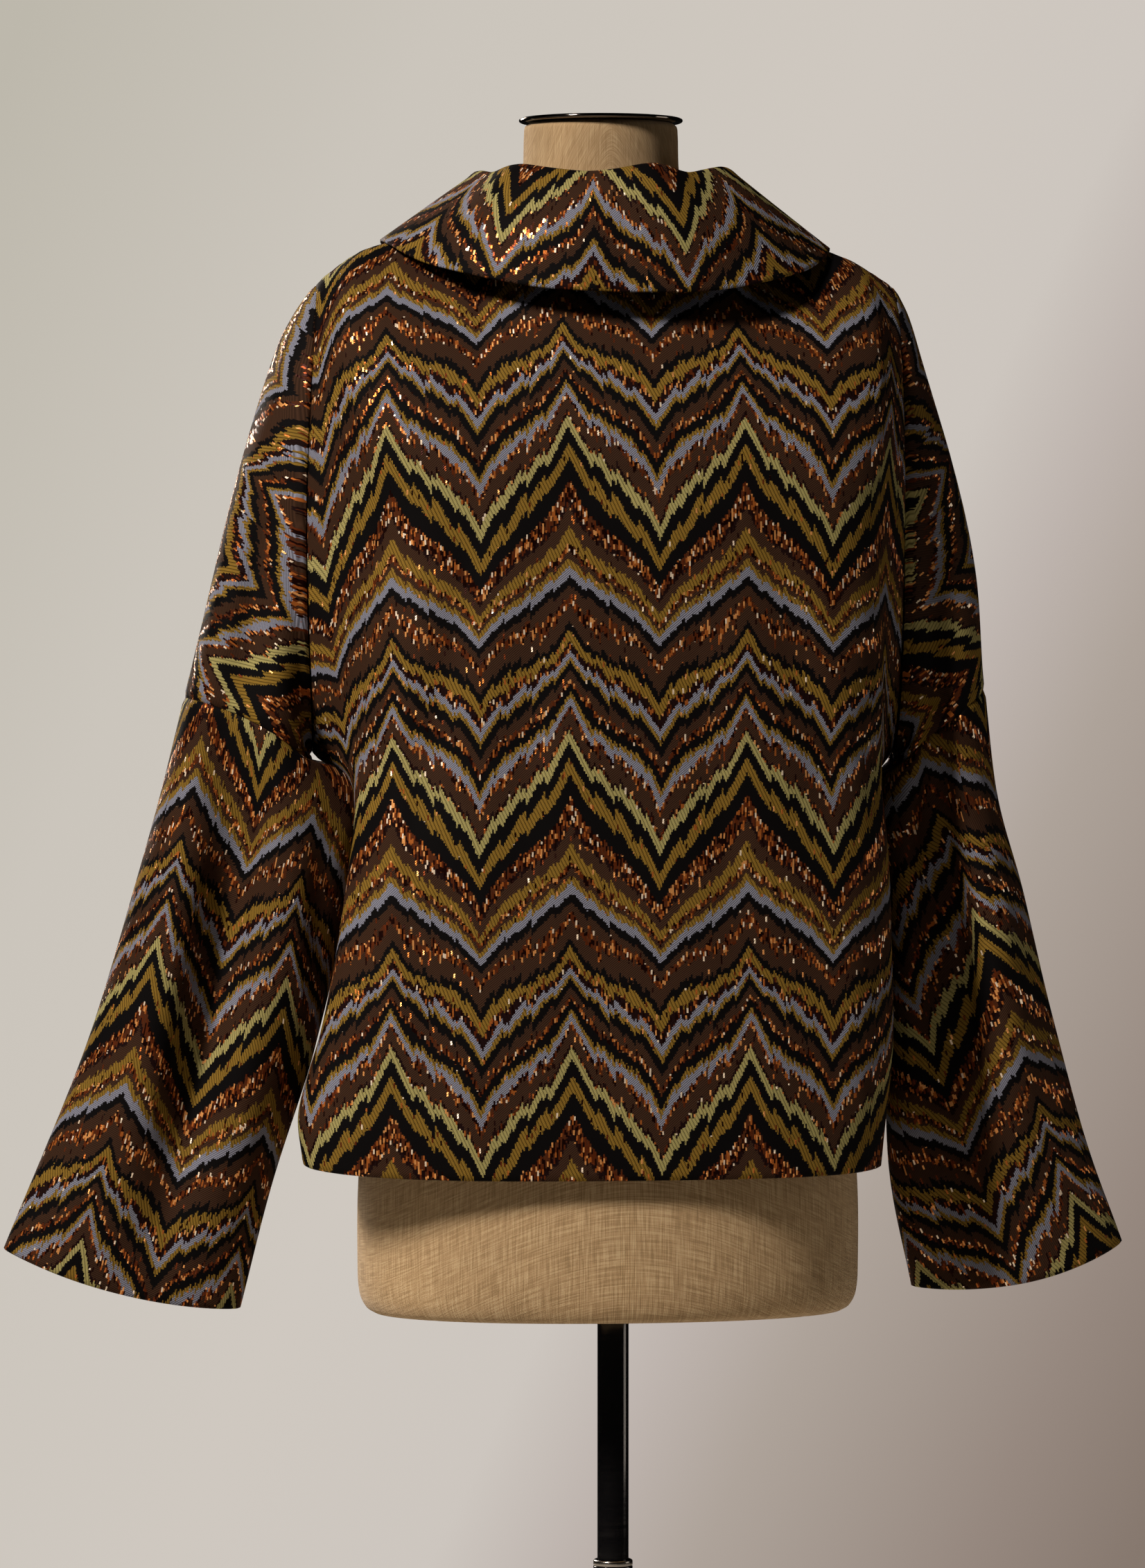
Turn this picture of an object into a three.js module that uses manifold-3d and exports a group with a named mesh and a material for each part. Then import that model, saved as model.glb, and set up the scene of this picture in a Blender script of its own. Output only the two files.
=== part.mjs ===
// A boxy jacket with a wide turned-down collar and flared sleeves, worn by a limbless dress form on a
// telescopic stand. Millimetres, +Z up. The origin is on the floor under the pole, the jacket's front faces -Y
// and the wearer's left is +X.
import * as THREE from "three";
import { mergeVertices } from "three/addons/utils/BufferGeometryUtils.js";
import Module from "manifold-3d";

const wasm = await Module();
wasm.setup();

// Driving dimensions
const CLOTH = 2; // thickness of the jacket cloth with its backing
const SEAM_GAP = 0.3; // between two sewn pieces
const FORM_BOTTOM = 650; // height of the dress form's underside
const NECK_TOP = 1474; // height of the dress form's neck
const UNDERARM_Z = 1036; // height where the side seam meets the sleeve
const SHOULDER_Y = -22; // depth of the shoulder seam
const SHOULDER_BOW = { left: 9, right: 3.5 }; // how far the shoulder seam bows up between its ends
const NECK_POINT = { x: 80, y: -30, z: 1412 }; // where the shoulder seam meets the neckline
const BACK_NECK = { y: 31, z: 1397 }; // the neckline at the centre back
const FRONT_NECK = { y: -101, z: 1338 };
const FRONT_OPENING = 2; // half the gap between the two front edges

// How finely the cloth is cut into faces
const HEM_ROWS = 8; // rows from the hem to the underarm
const ARM_ROWS = 13; // rows from the underarm to the shoulder tip, and half a sleeve ring
const HALF_COLUMNS = 12; // columns from the centre of the back or front to the side
const NECK_COLUMNS = 5; // those of them that end at the neckline
const SLEEVE_TOP_ROWS = 5;
const SLEEVE_LOW_ROWS = 10;
const COLLAR_ROWS = 11;

// Rows of numbers as objects with the named columns.
const rowsOf = (names, rows) =>
  rows.map((row) => Object.fromEntries(names.split(" ").map((name, i) => [name, row[i]])));

// The body by height. seam is the half width at the side seam, back and front how far the centres stand out,
// and wide the half width of the back's corner, behind which the cloth turns in towards the seam.
const BODY = rowsOf("z seamL seamR seamY back front wideL wideR", [
  [750, 211, 177, -4, 120, -132, 221, 179],
  [780, 211, 181, -4, 120, -134, 225, 181.5],
  [804, 205, 184, -4, 119, -135, 221, 184],
  [841, 194, 187, -4, 118, -136, 211, 187],
  [898, 181, 187, -5, 116, -139, 200, 187],
  [950, 172, 184, -8, 114, -141, 192, 186],
  [985, 169, 181, -12, 112, -142, 187, 184],
  [1005, 174, 183, -16, 111, -143, 185, 182],
  [1022, 188, 189, -20, 111, -143, 183, 181],
  [1036, 207, 199, -22, 110, -143, 182, 180],
  [1090, 207, 199, -22, 108, -143, 176, 177],
  [1160, 207, 199, -22, 105, -142, 168, 173],
  [1230, 207, 199, -22, 100, -137, 164, 171],
  [1290, 206, 200, -22, 87, -124, 166, 170],
  [1345, 205, 200, -22, 62, -99, 172, 170],
  [1397, 205, 200, -22, 31, -70, 172, 170],
]);
const FOLD_FADES = { from: 1180, to: 1330 }; // heights between which the back's side fold flattens out
const HEM_RISE = { left: 20, right: 13 }; // how much higher the hem hangs at the side seams
const TOP_FROM = 0.55; // share of the armhole's height above which the rows bend up to the shoulder

// The body's half section. across is a share of the way from the centre to the corner, or from the corner to
// the seam, deep a share of the way from the centre's depth to the seam's, and rise a share of the seam's
// rise.
const TO_CORNER = rowsOf("across deep", [
  [0, 0],
  [0.42, 0.03],
  [0.8, 0.16],
  [0.97, 0.36],
]);
const TO_SEAM = rowsOf("across deep rise", [
  [0.18, 0.58, 0],
  [0.55, 0.8, 0.5],
]);
const FRONT_CORNER = 3; // how far the front's corner is inside the back's
const FLAT_CORNER = 0.93; // the corner, as a share of the seam's half width, once the side fold is flat

// A sleeve by t, from the armhole at 0 to the cuff at 1. out and in are the edges seen from behind, x away
// from the body. back and front are half depths, edge the roundness, and the valley is a soft lengthwise
// crease in the back.
const LEFT_SLEEVE = rowsOf("t outX outZ inX inZ y back front edge at valley dip", [
  [0, 205.5, 1360, 207, 1036, -22, 56, 51, 2.1, 0.4, 0, 9],
  [0.05, 220, 1339, 208.5, 1034.5, -22, 56, 52, 2.1, 0.4, 1, 8],
  [0.1, 232.5, 1313, 209.5, 1033, -22, 56, 53, 2.1, 0.4, 3, 7],
  [0.19, 253.5, 1246, 210, 1031, -21, 56, 54, 2.1, 0.38, 7, 4],
  [0.29, 275.5, 1162, 209.5, 1029, -20, 56, 55, 2.1, 0.33, 10, -2],
  [0.39, 296, 1075, 206.5, 1026, -20, 55, 54, 2.1, 0.28, 15, -7],
  [0.49, 313, 1003, 178, 978, -20, 53, 52, 2.1, 0.32, 23, -4],
  [0.61, 334, 932, 189, 903, -21, 48, 48, 2, 0.43, 24, 0],
  [0.74, 361, 844, 207, 826, -22, 42, 42, 1.9, 0.5, 19, 2],
  [0.87, 392, 764, 235, 738, -24, 35, 36, 1.8, 0.53, 11, 6],
  [1, 420.5, 695, 257, 652, -26, 28, 32, 1.8, 0.55, 4, 9],
]);
const RIGHT_SLEEVE = rowsOf("t outX outZ inX inZ y back front edge at valley dip", [
  [0, 200, 1361, 199, 1036, -22, 56, 51, 2.1, 0.5, 0, 0],
  [0.05, 209.5, 1341, 200.5, 1034.5, -22, 56, 52, 2.1, 0.5, 1, 0],
  [0.1, 218, 1313, 201.5, 1033, -22, 56, 53, 2.1, 0.5, 3, 0],
  [0.19, 237.5, 1246, 202, 1031, -22, 55, 54, 2.1, 0.52, 8, 0],
  [0.29, 254, 1162, 201, 1029, -22, 54, 55, 2.1, 0.56, 12, 0],
  [0.39, 263.5, 1080, 197.5, 1026, -22, 52, 54, 2.1, 0.6, 15, -3],
  [0.49, 272.5, 1006, 190, 978, -22, 50, 52, 2.1, 0.62, 20, -2],
  [0.61, 291.5, 938, 194, 905, -22, 48, 48, 2, 0.68, 22, 0],
  [0.74, 314, 850, 195, 828, -23, 43, 43, 1.9, 0.72, 18, 2],
  [0.87, 337, 766, 198, 742, -25, 37, 37, 1.8, 0.74, 10, 7],
  [1, 363.5, 692, 214, 662, -27, 30, 32, 1.8, 0.75, 4, 11],
]);
const RING_SEAM_T = 0.39; // where the dropped sleeve head meets the lower sleeve
const VALLEY_WIDTH = 0.204; // half the crease's width, as a share of the sleeve's
const FRONT_VALLEY = 0.5; // depth of the crease in the front, as a share of that in the back

// The collar by angle round the neck, 0 at the centre back and 180 at the centre front. R is a distance from
// its middle.
const COLLAR_MIDDLE = { y: -34, foldX: 3, edgeX: 2, tilt: 2 }; // tilt lifts the leaf's edge on the left
const COLLAR = rowsOf("turn foldR foldZ edgeR edgeZ belly", [
  [0, 84, 1437, 116, 1352, 7],
  [30, 86, 1437.5, 127, 1355, 7],
  [60, 88, 1438, 147, 1370, 4],
  [90, 89, 1438, 156, 1389.3, 0],
  [120, 85, 1427, 133, 1358, 3],
  [150, 80, 1400, 113, 1312, 4],
  [180, 77, 1374, 103, 1272, 4],
]);
const FOOT_LIFT = 0.3; // how far the collar's foot stands off the curved neckline
const COLLAR_RISE = 5; // how far the collar goes on straight from the neckline before it bends up
// the soft roll on each side of the fold line
const ROLL = { inside: 6, insideDrop: 4, outside: 7, outsideDrop: 5 };
const STAND_LEAN = 0.55; // how far up the stand its free middle point is
const BELLY_RISE = 0.6; // the leaf's belly also lifts by this share of it
const FOLD_WAVES = [
  { turn: -62, rise: 3, width: 12 },
  { turn: -34, rise: -3, width: 10 },
  { turn: -18, rise: 3.5, width: 13 },
  { turn: 14, rise: -2.5, width: 14 },
  { turn: 48, rise: 3, width: 12 },
  { turn: 66, rise: -2, width: 9 },
];

// The dress form by height: half width, half depth, where its middle is, and its squareness.
const FORM = rowsOf("z half deep x y n", [
  [FORM_BOTTOM, 163, 101, 3, -4, 2.2],
  [653, 168, 106, 3, -4, 2.2],
  [662, 172.5, 110, 3, -4, 2.2],
  [680, 174, 112, 3, -4, 2.2],
  [740, 173.5, 111, 3, -4, 2.2],
  [800, 168, 106, 3, -5, 2.15],
  [850, 153, 98, 3, -7, 2.1],
  [900, 134, 88, 3, -10, 2.1],
  [950, 122, 82, 3, -13, 2.1],
  [1010, 126, 90, 3, -15, 2.1],
  [1075, 138, 105, 4, -17, 2.1],
  [1140, 146, 114, 4, -19, 2.15],
  [1200, 150, 109, 4, -18, 2.2],
  [1250, 157, 98, 4, -18, 2.2],
  [1290, 168, 87, 4, -20, 2.2],
  [1315, 175, 80, 4, -21, 2],
  [1338, 176, 70, 3, -22, 1.8],
  [1356, 172, 57, 2, -23, 1.65],
  [1374, 158, 55, 2, -22, 1.25],
  [1386, 128, 52, 2, -22, 1.2],
  [1396, 90, 52, 3, -27, 1.3],
  [1404, 72, 54, 4.5, -30, 1.6],
  [1416, 59, 53, 4.5, -32, 1.9],
  [1440, 54.5, 52.5, 4.5, -34, 2],
  [NECK_TOP - 7, 53.5, 52, 4.5, -34, 2],
  [NECK_TOP - 2, 52.5, 51, 4.5, -34, 2],
  [NECK_TOP, 49, 48, 4.5, -34, 2],
]);
const FORM_SIDES = 36;

// The stand
const CAP = { radius: 57, thickness: 3.2, x: 4.5, y: -34 };
const MAST = { radius: 10.85, bottom: 210, socket: 60, clearance: 0.5 };
const TUBE = { radius: 13.65, bore: 11.25, bottom: 16, top: 472 };
const RIM = { height: 4, edge: 0.8 };
const BASE = { radius: 190, edge: 6, middle: 9, hubRadius: 30, hubTop: 24, hubHeight: 36, clearance: 0.35 };

const COLOURS = {
  cloth: 0x4a3322,
  crossCloth: 0x41301f,
  linen: 0xa98f68,
  steel: 0x8d8d90,
  black: 0x0b0b0d,
};

// Value of every named column of a table at a key, on a smooth curve through its rows.
function at(rows, key, where) {
  const last = rows.length - 1;
  const next = rows.findIndex((row) => row[key] > where);
  const i = next < 0 ? last - 1 : Math.max(next - 1, 0);
  const [a, b, c, d] = [rows[Math.max(i - 1, 0)], rows[i], rows[i + 1], rows[Math.min(i + 2, last)]];
  const step = c[key] - b[key];
  const f = THREE.MathUtils.clamp((where - b[key]) / step, 0, 1);
  const made = {};
  for (const name of Object.keys(b)) {
    const into = b === a ? c[name] - b[name] : ((c[name] - a[name]) / (c[key] - a[key])) * step;
    const out = d === c ? c[name] - b[name] : ((d[name] - b[name]) / (d[key] - b[key])) * step;
    const [f2, f3] = [f * f, f * f * f];
    const ends = (2 * f3 - 3 * f2 + 1) * b[name] + (3 * f2 - 2 * f3) * c[name];
    made[name] = ends + (f3 - 2 * f2 + f) * into + (f3 - f2) * out;
  }
  return made;
}

// Points at equal steps of length along a line of points.
function evenly(points, steps) {
  const along = [0];
  for (let i = 1; i < points.length; i++) along.push(along[i - 1] + points[i].distanceTo(points[i - 1]));
  const whole = along[along.length - 1];
  const made = [];
  for (let k = 0, i = 0; k <= steps; k++) {
    const goal = (whole * k) / steps;
    while (i < points.length - 2 && along[i + 1] < goal) i++;
    made.push(points[i].clone().lerp(points[i + 1], (goal - along[i]) / (along[i + 1] - along[i])));
  }
  return made;
}

// A superellipse's cosine or sine.
const round = (value, n) => Math.sign(value) * Math.abs(value) ** (2 / n);

// One point of a sleeve ring. angle 0 is the outer edge, 90 degrees the back and 180 the inner edge.
function ringPoint(table, side, t, angle) {
  const row = at(table, "t", t);
  const across = round(Math.cos(angle), row.edge);
  const deep = round(Math.sin(angle), row.edge);
  const length = Math.hypot(row.outX - row.inX, row.outZ - row.inZ);
  const down = { x: (row.outZ - row.inZ) / length, z: -(row.outX - row.inX) / length };
  const crease = row.valley * Math.exp(-((((1 - across) / 2 - row.at) / VALLEY_WIDTH) ** 2));
  const y = row.y + deep * (deep > 0 ? row.back - crease : row.front - FRONT_VALLEY * crease);
  const dip = row.dip * (1 - across * across);
  return new THREE.Vector3(
    side * ((row.outX + row.inX) / 2 + ((row.outX - row.inX) / 2) * across + dip * down.x),
    y,
    (row.outZ + row.inZ) / 2 + ((row.outZ - row.inZ) / 2) * across + dip * down.z,
  );
}

// Half a sleeve ring from the inner edge to the outer one, over the back (1) or the front (-1).
function halfRing(table, side, t, face) {
  const line = [];
  for (let i = 0; i <= 90; i++) line.push(ringPoint(table, side, t, face * Math.PI * (1 - i / 90)));
  return evenly(line, ARM_ROWS);
}

// The edges that the body shares with the sleeves, from the underarm to the shoulder tip.
const ARMHOLE = {};
for (const [side, table] of [[1, LEFT_SLEEVE], [-1, RIGHT_SLEEVE]])
  for (const face of [1, -1]) ARMHOLE[side + "," + face] = halfRing(table, side, 0, face);

// The top edge of the back (1) or front (-1) at a column, from the centre over the neckline to the tip.
function topEdge(side, face, column) {
  const neck = face > 0 ? BACK_NECK : FRONT_NECK;
  if (column > NECK_COLUMNS) {
    const f = (column - NECK_COLUMNS) / (HALF_COLUMNS - NECK_COLUMNS);
    const { outX, outZ } = (side > 0 ? LEFT_SLEEVE : RIGHT_SLEEVE)[0];
    const bow = (side > 0 ? SHOULDER_BOW.left : SHOULDER_BOW.right) * Math.sin(Math.PI * f ** 2);
    return new THREE.Vector3(
      side * (NECK_POINT.x + (outX - NECK_POINT.x) * f),
      NECK_POINT.y + (SHOULDER_Y - NECK_POINT.y) * f,
      NECK_POINT.z + (outZ - NECK_POINT.z) * f + bow,
    );
  }
  const angle = (column / NECK_COLUMNS) * (Math.PI / 2);
  const centre = face > 0 ? 0 : FRONT_OPENING;
  const [s, c] = [Math.sin(angle), Math.cos(angle)];
  return new THREE.Vector3(
    side * (centre + (NECK_POINT.x - centre) * s),
    NECK_POINT.y + (neck.y - NECK_POINT.y) * c,
    neck.z + (NECK_POINT.z - neck.z) * s ** 2,
  );
}

// Half a cross-section of the body, from the centre of the back (1) or front (-1) to an edge point at the
// side. The middle is nearly flat, the corner round, and from there the cloth runs to the edge.
function halfSection(side, face, z, edge) {
  const row = at(BODY, "z", z);
  const { smoothstep } = THREE.MathUtils;
  const fade = 1 - smoothstep(z, FOLD_FADES.from, FOLD_FADES.to);
  const folded = side > 0 ? row.wideL : row.wideR;
  const edgeX = Math.abs(edge.x);
  const flat = edgeX * FLAT_CORNER;
  const wide = face > 0 ? flat + (folded - flat) * fade : Math.min(folded, edgeX) - FRONT_CORNER;
  const middle = face > 0 ? row.back : row.front;
  const depth = middle - edge.y;
  const start = face > 0 ? 0 : FRONT_OPENING;
  const point = (from, to, { across, deep, rise = 0 }) =>
    new THREE.Vector3(side * (from + across * (to - from)), middle - deep * depth, z + rise * (edge.z - z));
  const corner = TO_CORNER.map((p) => point(start, wide, p));
  const points = [...corner, ...TO_SEAM.map((p) => point(wide, edgeX, p)), edge];
  points.unshift(new THREE.Vector3(2 * points[0].x - points[1].x, points[1].y, z));
  const last = points.length - 1;
  points.push(points[last].clone().multiplyScalar(2).sub(points[last - 1]));
  const curve = new THREE.CatmullRomCurve3(points, false, "catmullrom", 0.5);
  const spans = points.length - 1;
  const dense = [];
  for (let i = 0; i <= 120; i++) dense.push(curve.getPoint((1 + ((spans - 2) * i) / 120) / spans));
  return evenly(dense, HALF_COLUMNS);
}

// Rows of outer points for the back or front on one side, from the centre to the side, hem row first.
function halfPanel(side, face) {
  const rows = [];
  const bottom = BODY[0].z;
  for (let i = 0; i < HEM_ROWS; i++) {
    const z = bottom + ((UNDERARM_Z - bottom) * i) / HEM_ROWS;
    const row = at(BODY, "z", z);
    const edge = new THREE.Vector3(side * (side > 0 ? row.seamL : row.seamR), row.seamY, z);
    rows.push(halfSection(side, face, z, edge));
  }
  const armhole = ARMHOLE[side + "," + face];
  const neckZ = face > 0 ? BACK_NECK.z : FRONT_NECK.z;
  for (let i = 0; i <= ARM_ROWS; i++) {
    const share = i / ARM_ROWS;
    const z = UNDERARM_Z + (neckZ - UNDERARM_Z) * share;
    const section = halfSection(side, face, z, armhole[i]);
    // near the top the rows bend up to the shoulder and neckline, and their ends stay on the armhole
    const lift = Math.max(0, (share - TOP_FROM) / (1 - TOP_FROM)) ** 2;
    const below = armhole[i].clone().sub(armhole[ARM_ROWS]);
    const goal = (j) => topEdge(side, face, j).addScaledVector(below, (j / HALF_COLUMNS) ** 3);
    rows.push(section.map((p, j) => p.clone().lerp(goal(j), lift)));
  }
  // the hem hangs a little higher at the sides, and that fades out towards the underarm
  rows.slice(0, HEM_ROWS).forEach((row, i) => {
    const rise = (side > 0 ? HEM_RISE.left : HEM_RISE.right) * (1 - i / HEM_ROWS) ** 2;
    row.forEach((p, j) => (p.z += rise * (j / HALF_COLUMNS) ** 4));
  });
  return rows;
}

// Rows of outer points round a whole sleeve, ring by ring: outer edge, back, inner edge, front.
function sleeveRings(side) {
  const table = side > 0 ? LEFT_SLEEVE : RIGHT_SLEEVE;
  const rings = [];
  const steps = [];
  for (let i = 0; i <= SLEEVE_TOP_ROWS; i++) steps.push((RING_SEAM_T * i) / SLEEVE_TOP_ROWS);
  const rest = 1 - RING_SEAM_T;
  for (let i = 1; i <= SLEEVE_LOW_ROWS; i++) steps.push(RING_SEAM_T + (rest * i) / SLEEVE_LOW_ROWS);
  for (const t of steps) {
    const back = halfRing(table, side, t, 1).reverse();
    const front = halfRing(table, side, t, -1);
    rings.push([...back, ...front.slice(1, -1)]);
  }
  return rings;
}

// A sheet of outer points with their outward normals. closed joins each row's end to its start.
function sheet(points, closed, flip) {
  const [rows, columns] = [points.length, points[0].length];
  const normals = points.map((row, i) =>
    row.map((_, j) => {
      const down = points[Math.max(i - 1, 0)][j];
      const up = points[Math.min(i + 1, rows - 1)][j];
      const before = closed ? row[(j - 1 + columns) % columns] : row[Math.max(j - 1, 0)];
      const after = closed ? row[(j + 1) % columns] : row[Math.min(j + 1, columns - 1)];
      const normal = up.clone().sub(down).cross(after.clone().sub(before)).normalize();
      return flip ? normal.negate() : normal;
    }),
  );
  return { points, normals, closed, flip };
}

// Gives points that two sheets share the same normal, so that their walls meet edge to edge.
function shareNormals(sheets) {
  const sums = new Map();
  const name = (p) => [p.x, p.y, p.z].map((v) => Math.round(v * 100)).join();
  const each = (work) =>
    sheets.forEach((s) => s.points.forEach((row, i) => row.forEach((p, j) => work(s, i, j, name(p)))));
  each((s, i, j, key) => sums.set(key, (sums.get(key) ?? new THREE.Vector3()).clone().add(s.normals[i][j])));
  each((s, i, j, key) => (s.normals[i][j] = sums.get(key).clone().normalize()));
}

// Part of a sheet's rows.
const someRows = (s, from, to) => {
  const [points, normals] = [s.points.slice(from, to), s.normals.slice(from, to)];
  return { ...s, points, normals };
};

// How half a seam gap moves each point of a sewn edge: square to the seam and to the wall, towards the next
// points.
function trimMoves(edge, normals, next, closed) {
  const last = edge.length - 1;
  return edge.map((p, k) => {
    const before = edge[k > 0 ? k - 1 : closed ? last : 0];
    const after = edge[k < last ? k + 1 : closed ? 0 : last];
    const move = normals[k].clone().cross(after.clone().sub(before)).setLength(SEAM_GAP / 2);
    return move.dot(next[k].clone().sub(p)) < 0 ? move.negate() : move;
  });
}

// A closed wall: the sheet's points and the same points moved in by the thickness, half a gap short of each
// sewn edge.
function wall(s, { outside = 0, sewn = true } = {}) {
  const [rows, columns] = [s.points.length, s.points[0].length];
  const shift = s.points.map((row) => row.map(() => new THREE.Vector3()));
  const column = (grid, j) => grid.map((row) => row[j]);
  const trim = (edge, normals, next, shifts, closed) =>
    trimMoves(edge, normals, next, closed).forEach((move, k) => shifts[k].add(move));
  if (sewn) {
    for (const [i, next] of [[0, 1], [rows - 1, rows - 2]]) {
      trim(s.points[i], s.normals[i], s.points[next], shift[i], s.closed);
    }
  }
  if (sewn && !s.closed) {
    for (const [j, next] of [[0, 1], [columns - 1, columns - 2]]) {
      trim(column(s.points, j), column(s.normals, j), column(s.points, next), column(shift, j), false);
    }
  }
  const depths = [-outside, CLOTH - outside];
  const untrimmed = depths.flatMap((depth) =>
    s.points.flatMap((row, i) => row.map((p, j) => p.clone().addScaledVector(s.normals[i][j], -depth))),
  );
  const shifts = [shift, shift].flat(2);
  const outer = (i, j) => i * columns + (j % columns);
  const inner = (i, j) => rows * columns + outer(i, j);
  const index = [];
  const triangle = (a, b, c) => (s.flip ? index.push(a, b, c) : index.push(a, c, b));
  // each face is split along its shorter diagonal, so that the end faces of two sewn edges are split alike
  const quad = (a, b, c, d) => {
    const straight = untrimmed[a].distanceTo(untrimmed[c]) <= untrimmed[b].distanceTo(untrimmed[d]);
    for (const corners of straight ? [[a, b, c], [a, c, d]] : [[a, b, d], [b, c, d]]) triangle(...corners);
  };
  const spans = s.closed ? columns : columns - 1;
  for (let i = 0; i < rows - 1; i++)
    for (let j = 0; j < spans; j++) {
      quad(outer(i, j), outer(i, j + 1), outer(i + 1, j + 1), outer(i + 1, j));
      quad(inner(i, j), inner(i + 1, j), inner(i + 1, j + 1), inner(i, j + 1));
    }
  for (let j = 0; j < spans; j++) {
    quad(outer(0, j), inner(0, j), inner(0, j + 1), outer(0, j + 1));
    quad(outer(rows - 1, j), outer(rows - 1, j + 1), inner(rows - 1, j + 1), inner(rows - 1, j));
  }
  if (!s.closed)
    for (let i = 0; i < rows - 1; i++) {
      quad(outer(i, 0), outer(i + 1, 0), inner(i + 1, 0), inner(i, 0));
      quad(outer(i, spans), inner(i, spans), inner(i + 1, spans), outer(i + 1, spans));
    }
  const points = untrimmed.map((p, k) => p.clone().add(shifts[k]));
  return new THREE.BufferGeometry().setFromPoints(points).setIndex(index);
}

// The jacket's sheets, which share their seam points.
function jacketSheets() {
  const halves = {};
  for (const side of [1, -1]) for (const face of [1, -1]) halves[side + "," + face] = halfPanel(side, face);
  const backRows = halves["1,1"].map((row, i) => [...halves["-1,1"][i].slice(1).reverse(), ...row]);
  const sheets = {
    back: sheet(backRows, false, false),
    front_left: sheet(halves["1,-1"], false, true),
    front_right: sheet(halves["-1,-1"], false, false),
    sleeve_left: sheet(sleeveRings(1), true, false),
    sleeve_right: sheet(sleeveRings(-1), true, true),
  };
  shareNormals(Object.values(sheets));
  return sheets;
}

// The body panels and the two pieces of each sleeve.
function jacketPieces(sheets) {
  const pieces = {
    back: wall(sheets.back),
    front_left: wall(sheets.front_left),
    front_right: wall(sheets.front_right),
  };
  for (const hand of ["left", "right"]) {
    const whole = sheets["sleeve_" + hand];
    pieces["sleeve_top_" + hand] = wall(someRows(whole, 0, SLEEVE_TOP_ROWS + 1));
    pieces["sleeve_low_" + hand] = wall(someRows(whole, SLEEVE_TOP_ROWS, whole.points.length));
  }
  return pieces;
}

// The middle of the cloth along the whole neckline, from the left front edge round the back to the right
// one, with the direction in which the panels end there. Every panel edge is halved, so the collar gets twice
// its columns.
function necklineFeet(sheets) {
  const foot = (s, j) => {
    const last = s.points.length - 1;
    const normal = s.normals[last][j];
    return { point: s.points[last][j].clone().addScaledVector(normal, -CLOTH / 2), normal };
  };
  const feet = [];
  for (let j = 0; j < NECK_COLUMNS; j++) feet.push(foot(sheets.front_left, j));
  for (let j = NECK_COLUMNS; j >= -NECK_COLUMNS; j--) feet.push(foot(sheets.back, HALF_COLUMNS + j));
  for (let j = NECK_COLUMNS - 1; j >= 0; j--) feet.push(foot(sheets.front_right, j));
  feet.forEach((f, i) => {
    const along = feet[Math.min(i + 1, feet.length - 1)].point.clone().sub(feet[Math.max(i - 1, 0)].point);
    f.up = f.normal.clone().cross(along).normalize();
  });
  const middle = (a, b) => ({
    point: a.point.clone().lerp(b.point, 0.5),
    normal: a.normal.clone().add(b.normal).normalize(),
    up: a.up.clone().add(b.up).normalize(),
  });
  return feet.flatMap((f, i) => (i > 0 ? [middle(feet[i - 1], f), f] : [f]));
}

// The collar: up from the neckline as a stand, over a soft roll, and down and out as the leaf.
function collar(sheets) {
  const { y, foldX, edgeX, tilt } = COLLAR_MIDDLE;
  const feet = necklineFeet(sheets);
  const columns = feet.map(({ point, up }) => {
    const turn = THREE.MathUtils.radToDeg(Math.atan2(point.x, point.y - y));
    const row = at(COLLAR, "turn", Math.abs(turn));
    const bell = (w) => w.rise * Math.exp(-(((turn - w.turn) / w.width) ** 2));
    const wave = FOLD_WAVES.reduce((sum, w) => sum + bell(w), 0);
    const angle = THREE.MathUtils.degToRad(turn);
    const [sin, cos] = [Math.sin(angle), Math.cos(angle)];
    const place = (x, r, z) => new THREE.Vector3(x + r * sin, y + r * cos, z);
    const foot = point.clone().addScaledVector(up, FOOT_LIFT);
    const bend = foot.clone().addScaledVector(up, COLLAR_RISE);
    const [foldZ, edgeZ] = [row.foldZ + wave, row.edgeZ + tilt * sin];
    const middleR = (row.foldR + row.edgeR) / 2 + row.belly;
    const inside = place(foldX, row.foldR - ROLL.inside, foldZ - ROLL.insideDrop);
    const line = [
      foot,
      bend,
      bend.clone().lerp(inside, STAND_LEAN),
      inside,
      place(foldX, row.foldR, foldZ),
      place(foldX, row.foldR + ROLL.outside, foldZ - ROLL.outsideDrop),
      place((foldX + edgeX) / 2, middleR, (foldZ + edgeZ) / 2 + BELLY_RISE * row.belly),
      place(edgeX, row.edgeR, edgeZ),
    ];
    const curve = new THREE.CatmullRomCurve3(line.slice(1), false, "centripetal");
    return [foot, ...evenly(curve.getPoints(80), COLLAR_ROWS)];
  });
  const made = sheet(columns[0].map((_, i) => columns.map((column) => column[i])), false, false);
  made.normals[0] = feet.map(({ normal }) => normal.clone().negate());
  return wall(made, { outside: CLOTH / 2, sewn: false });
}

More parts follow.
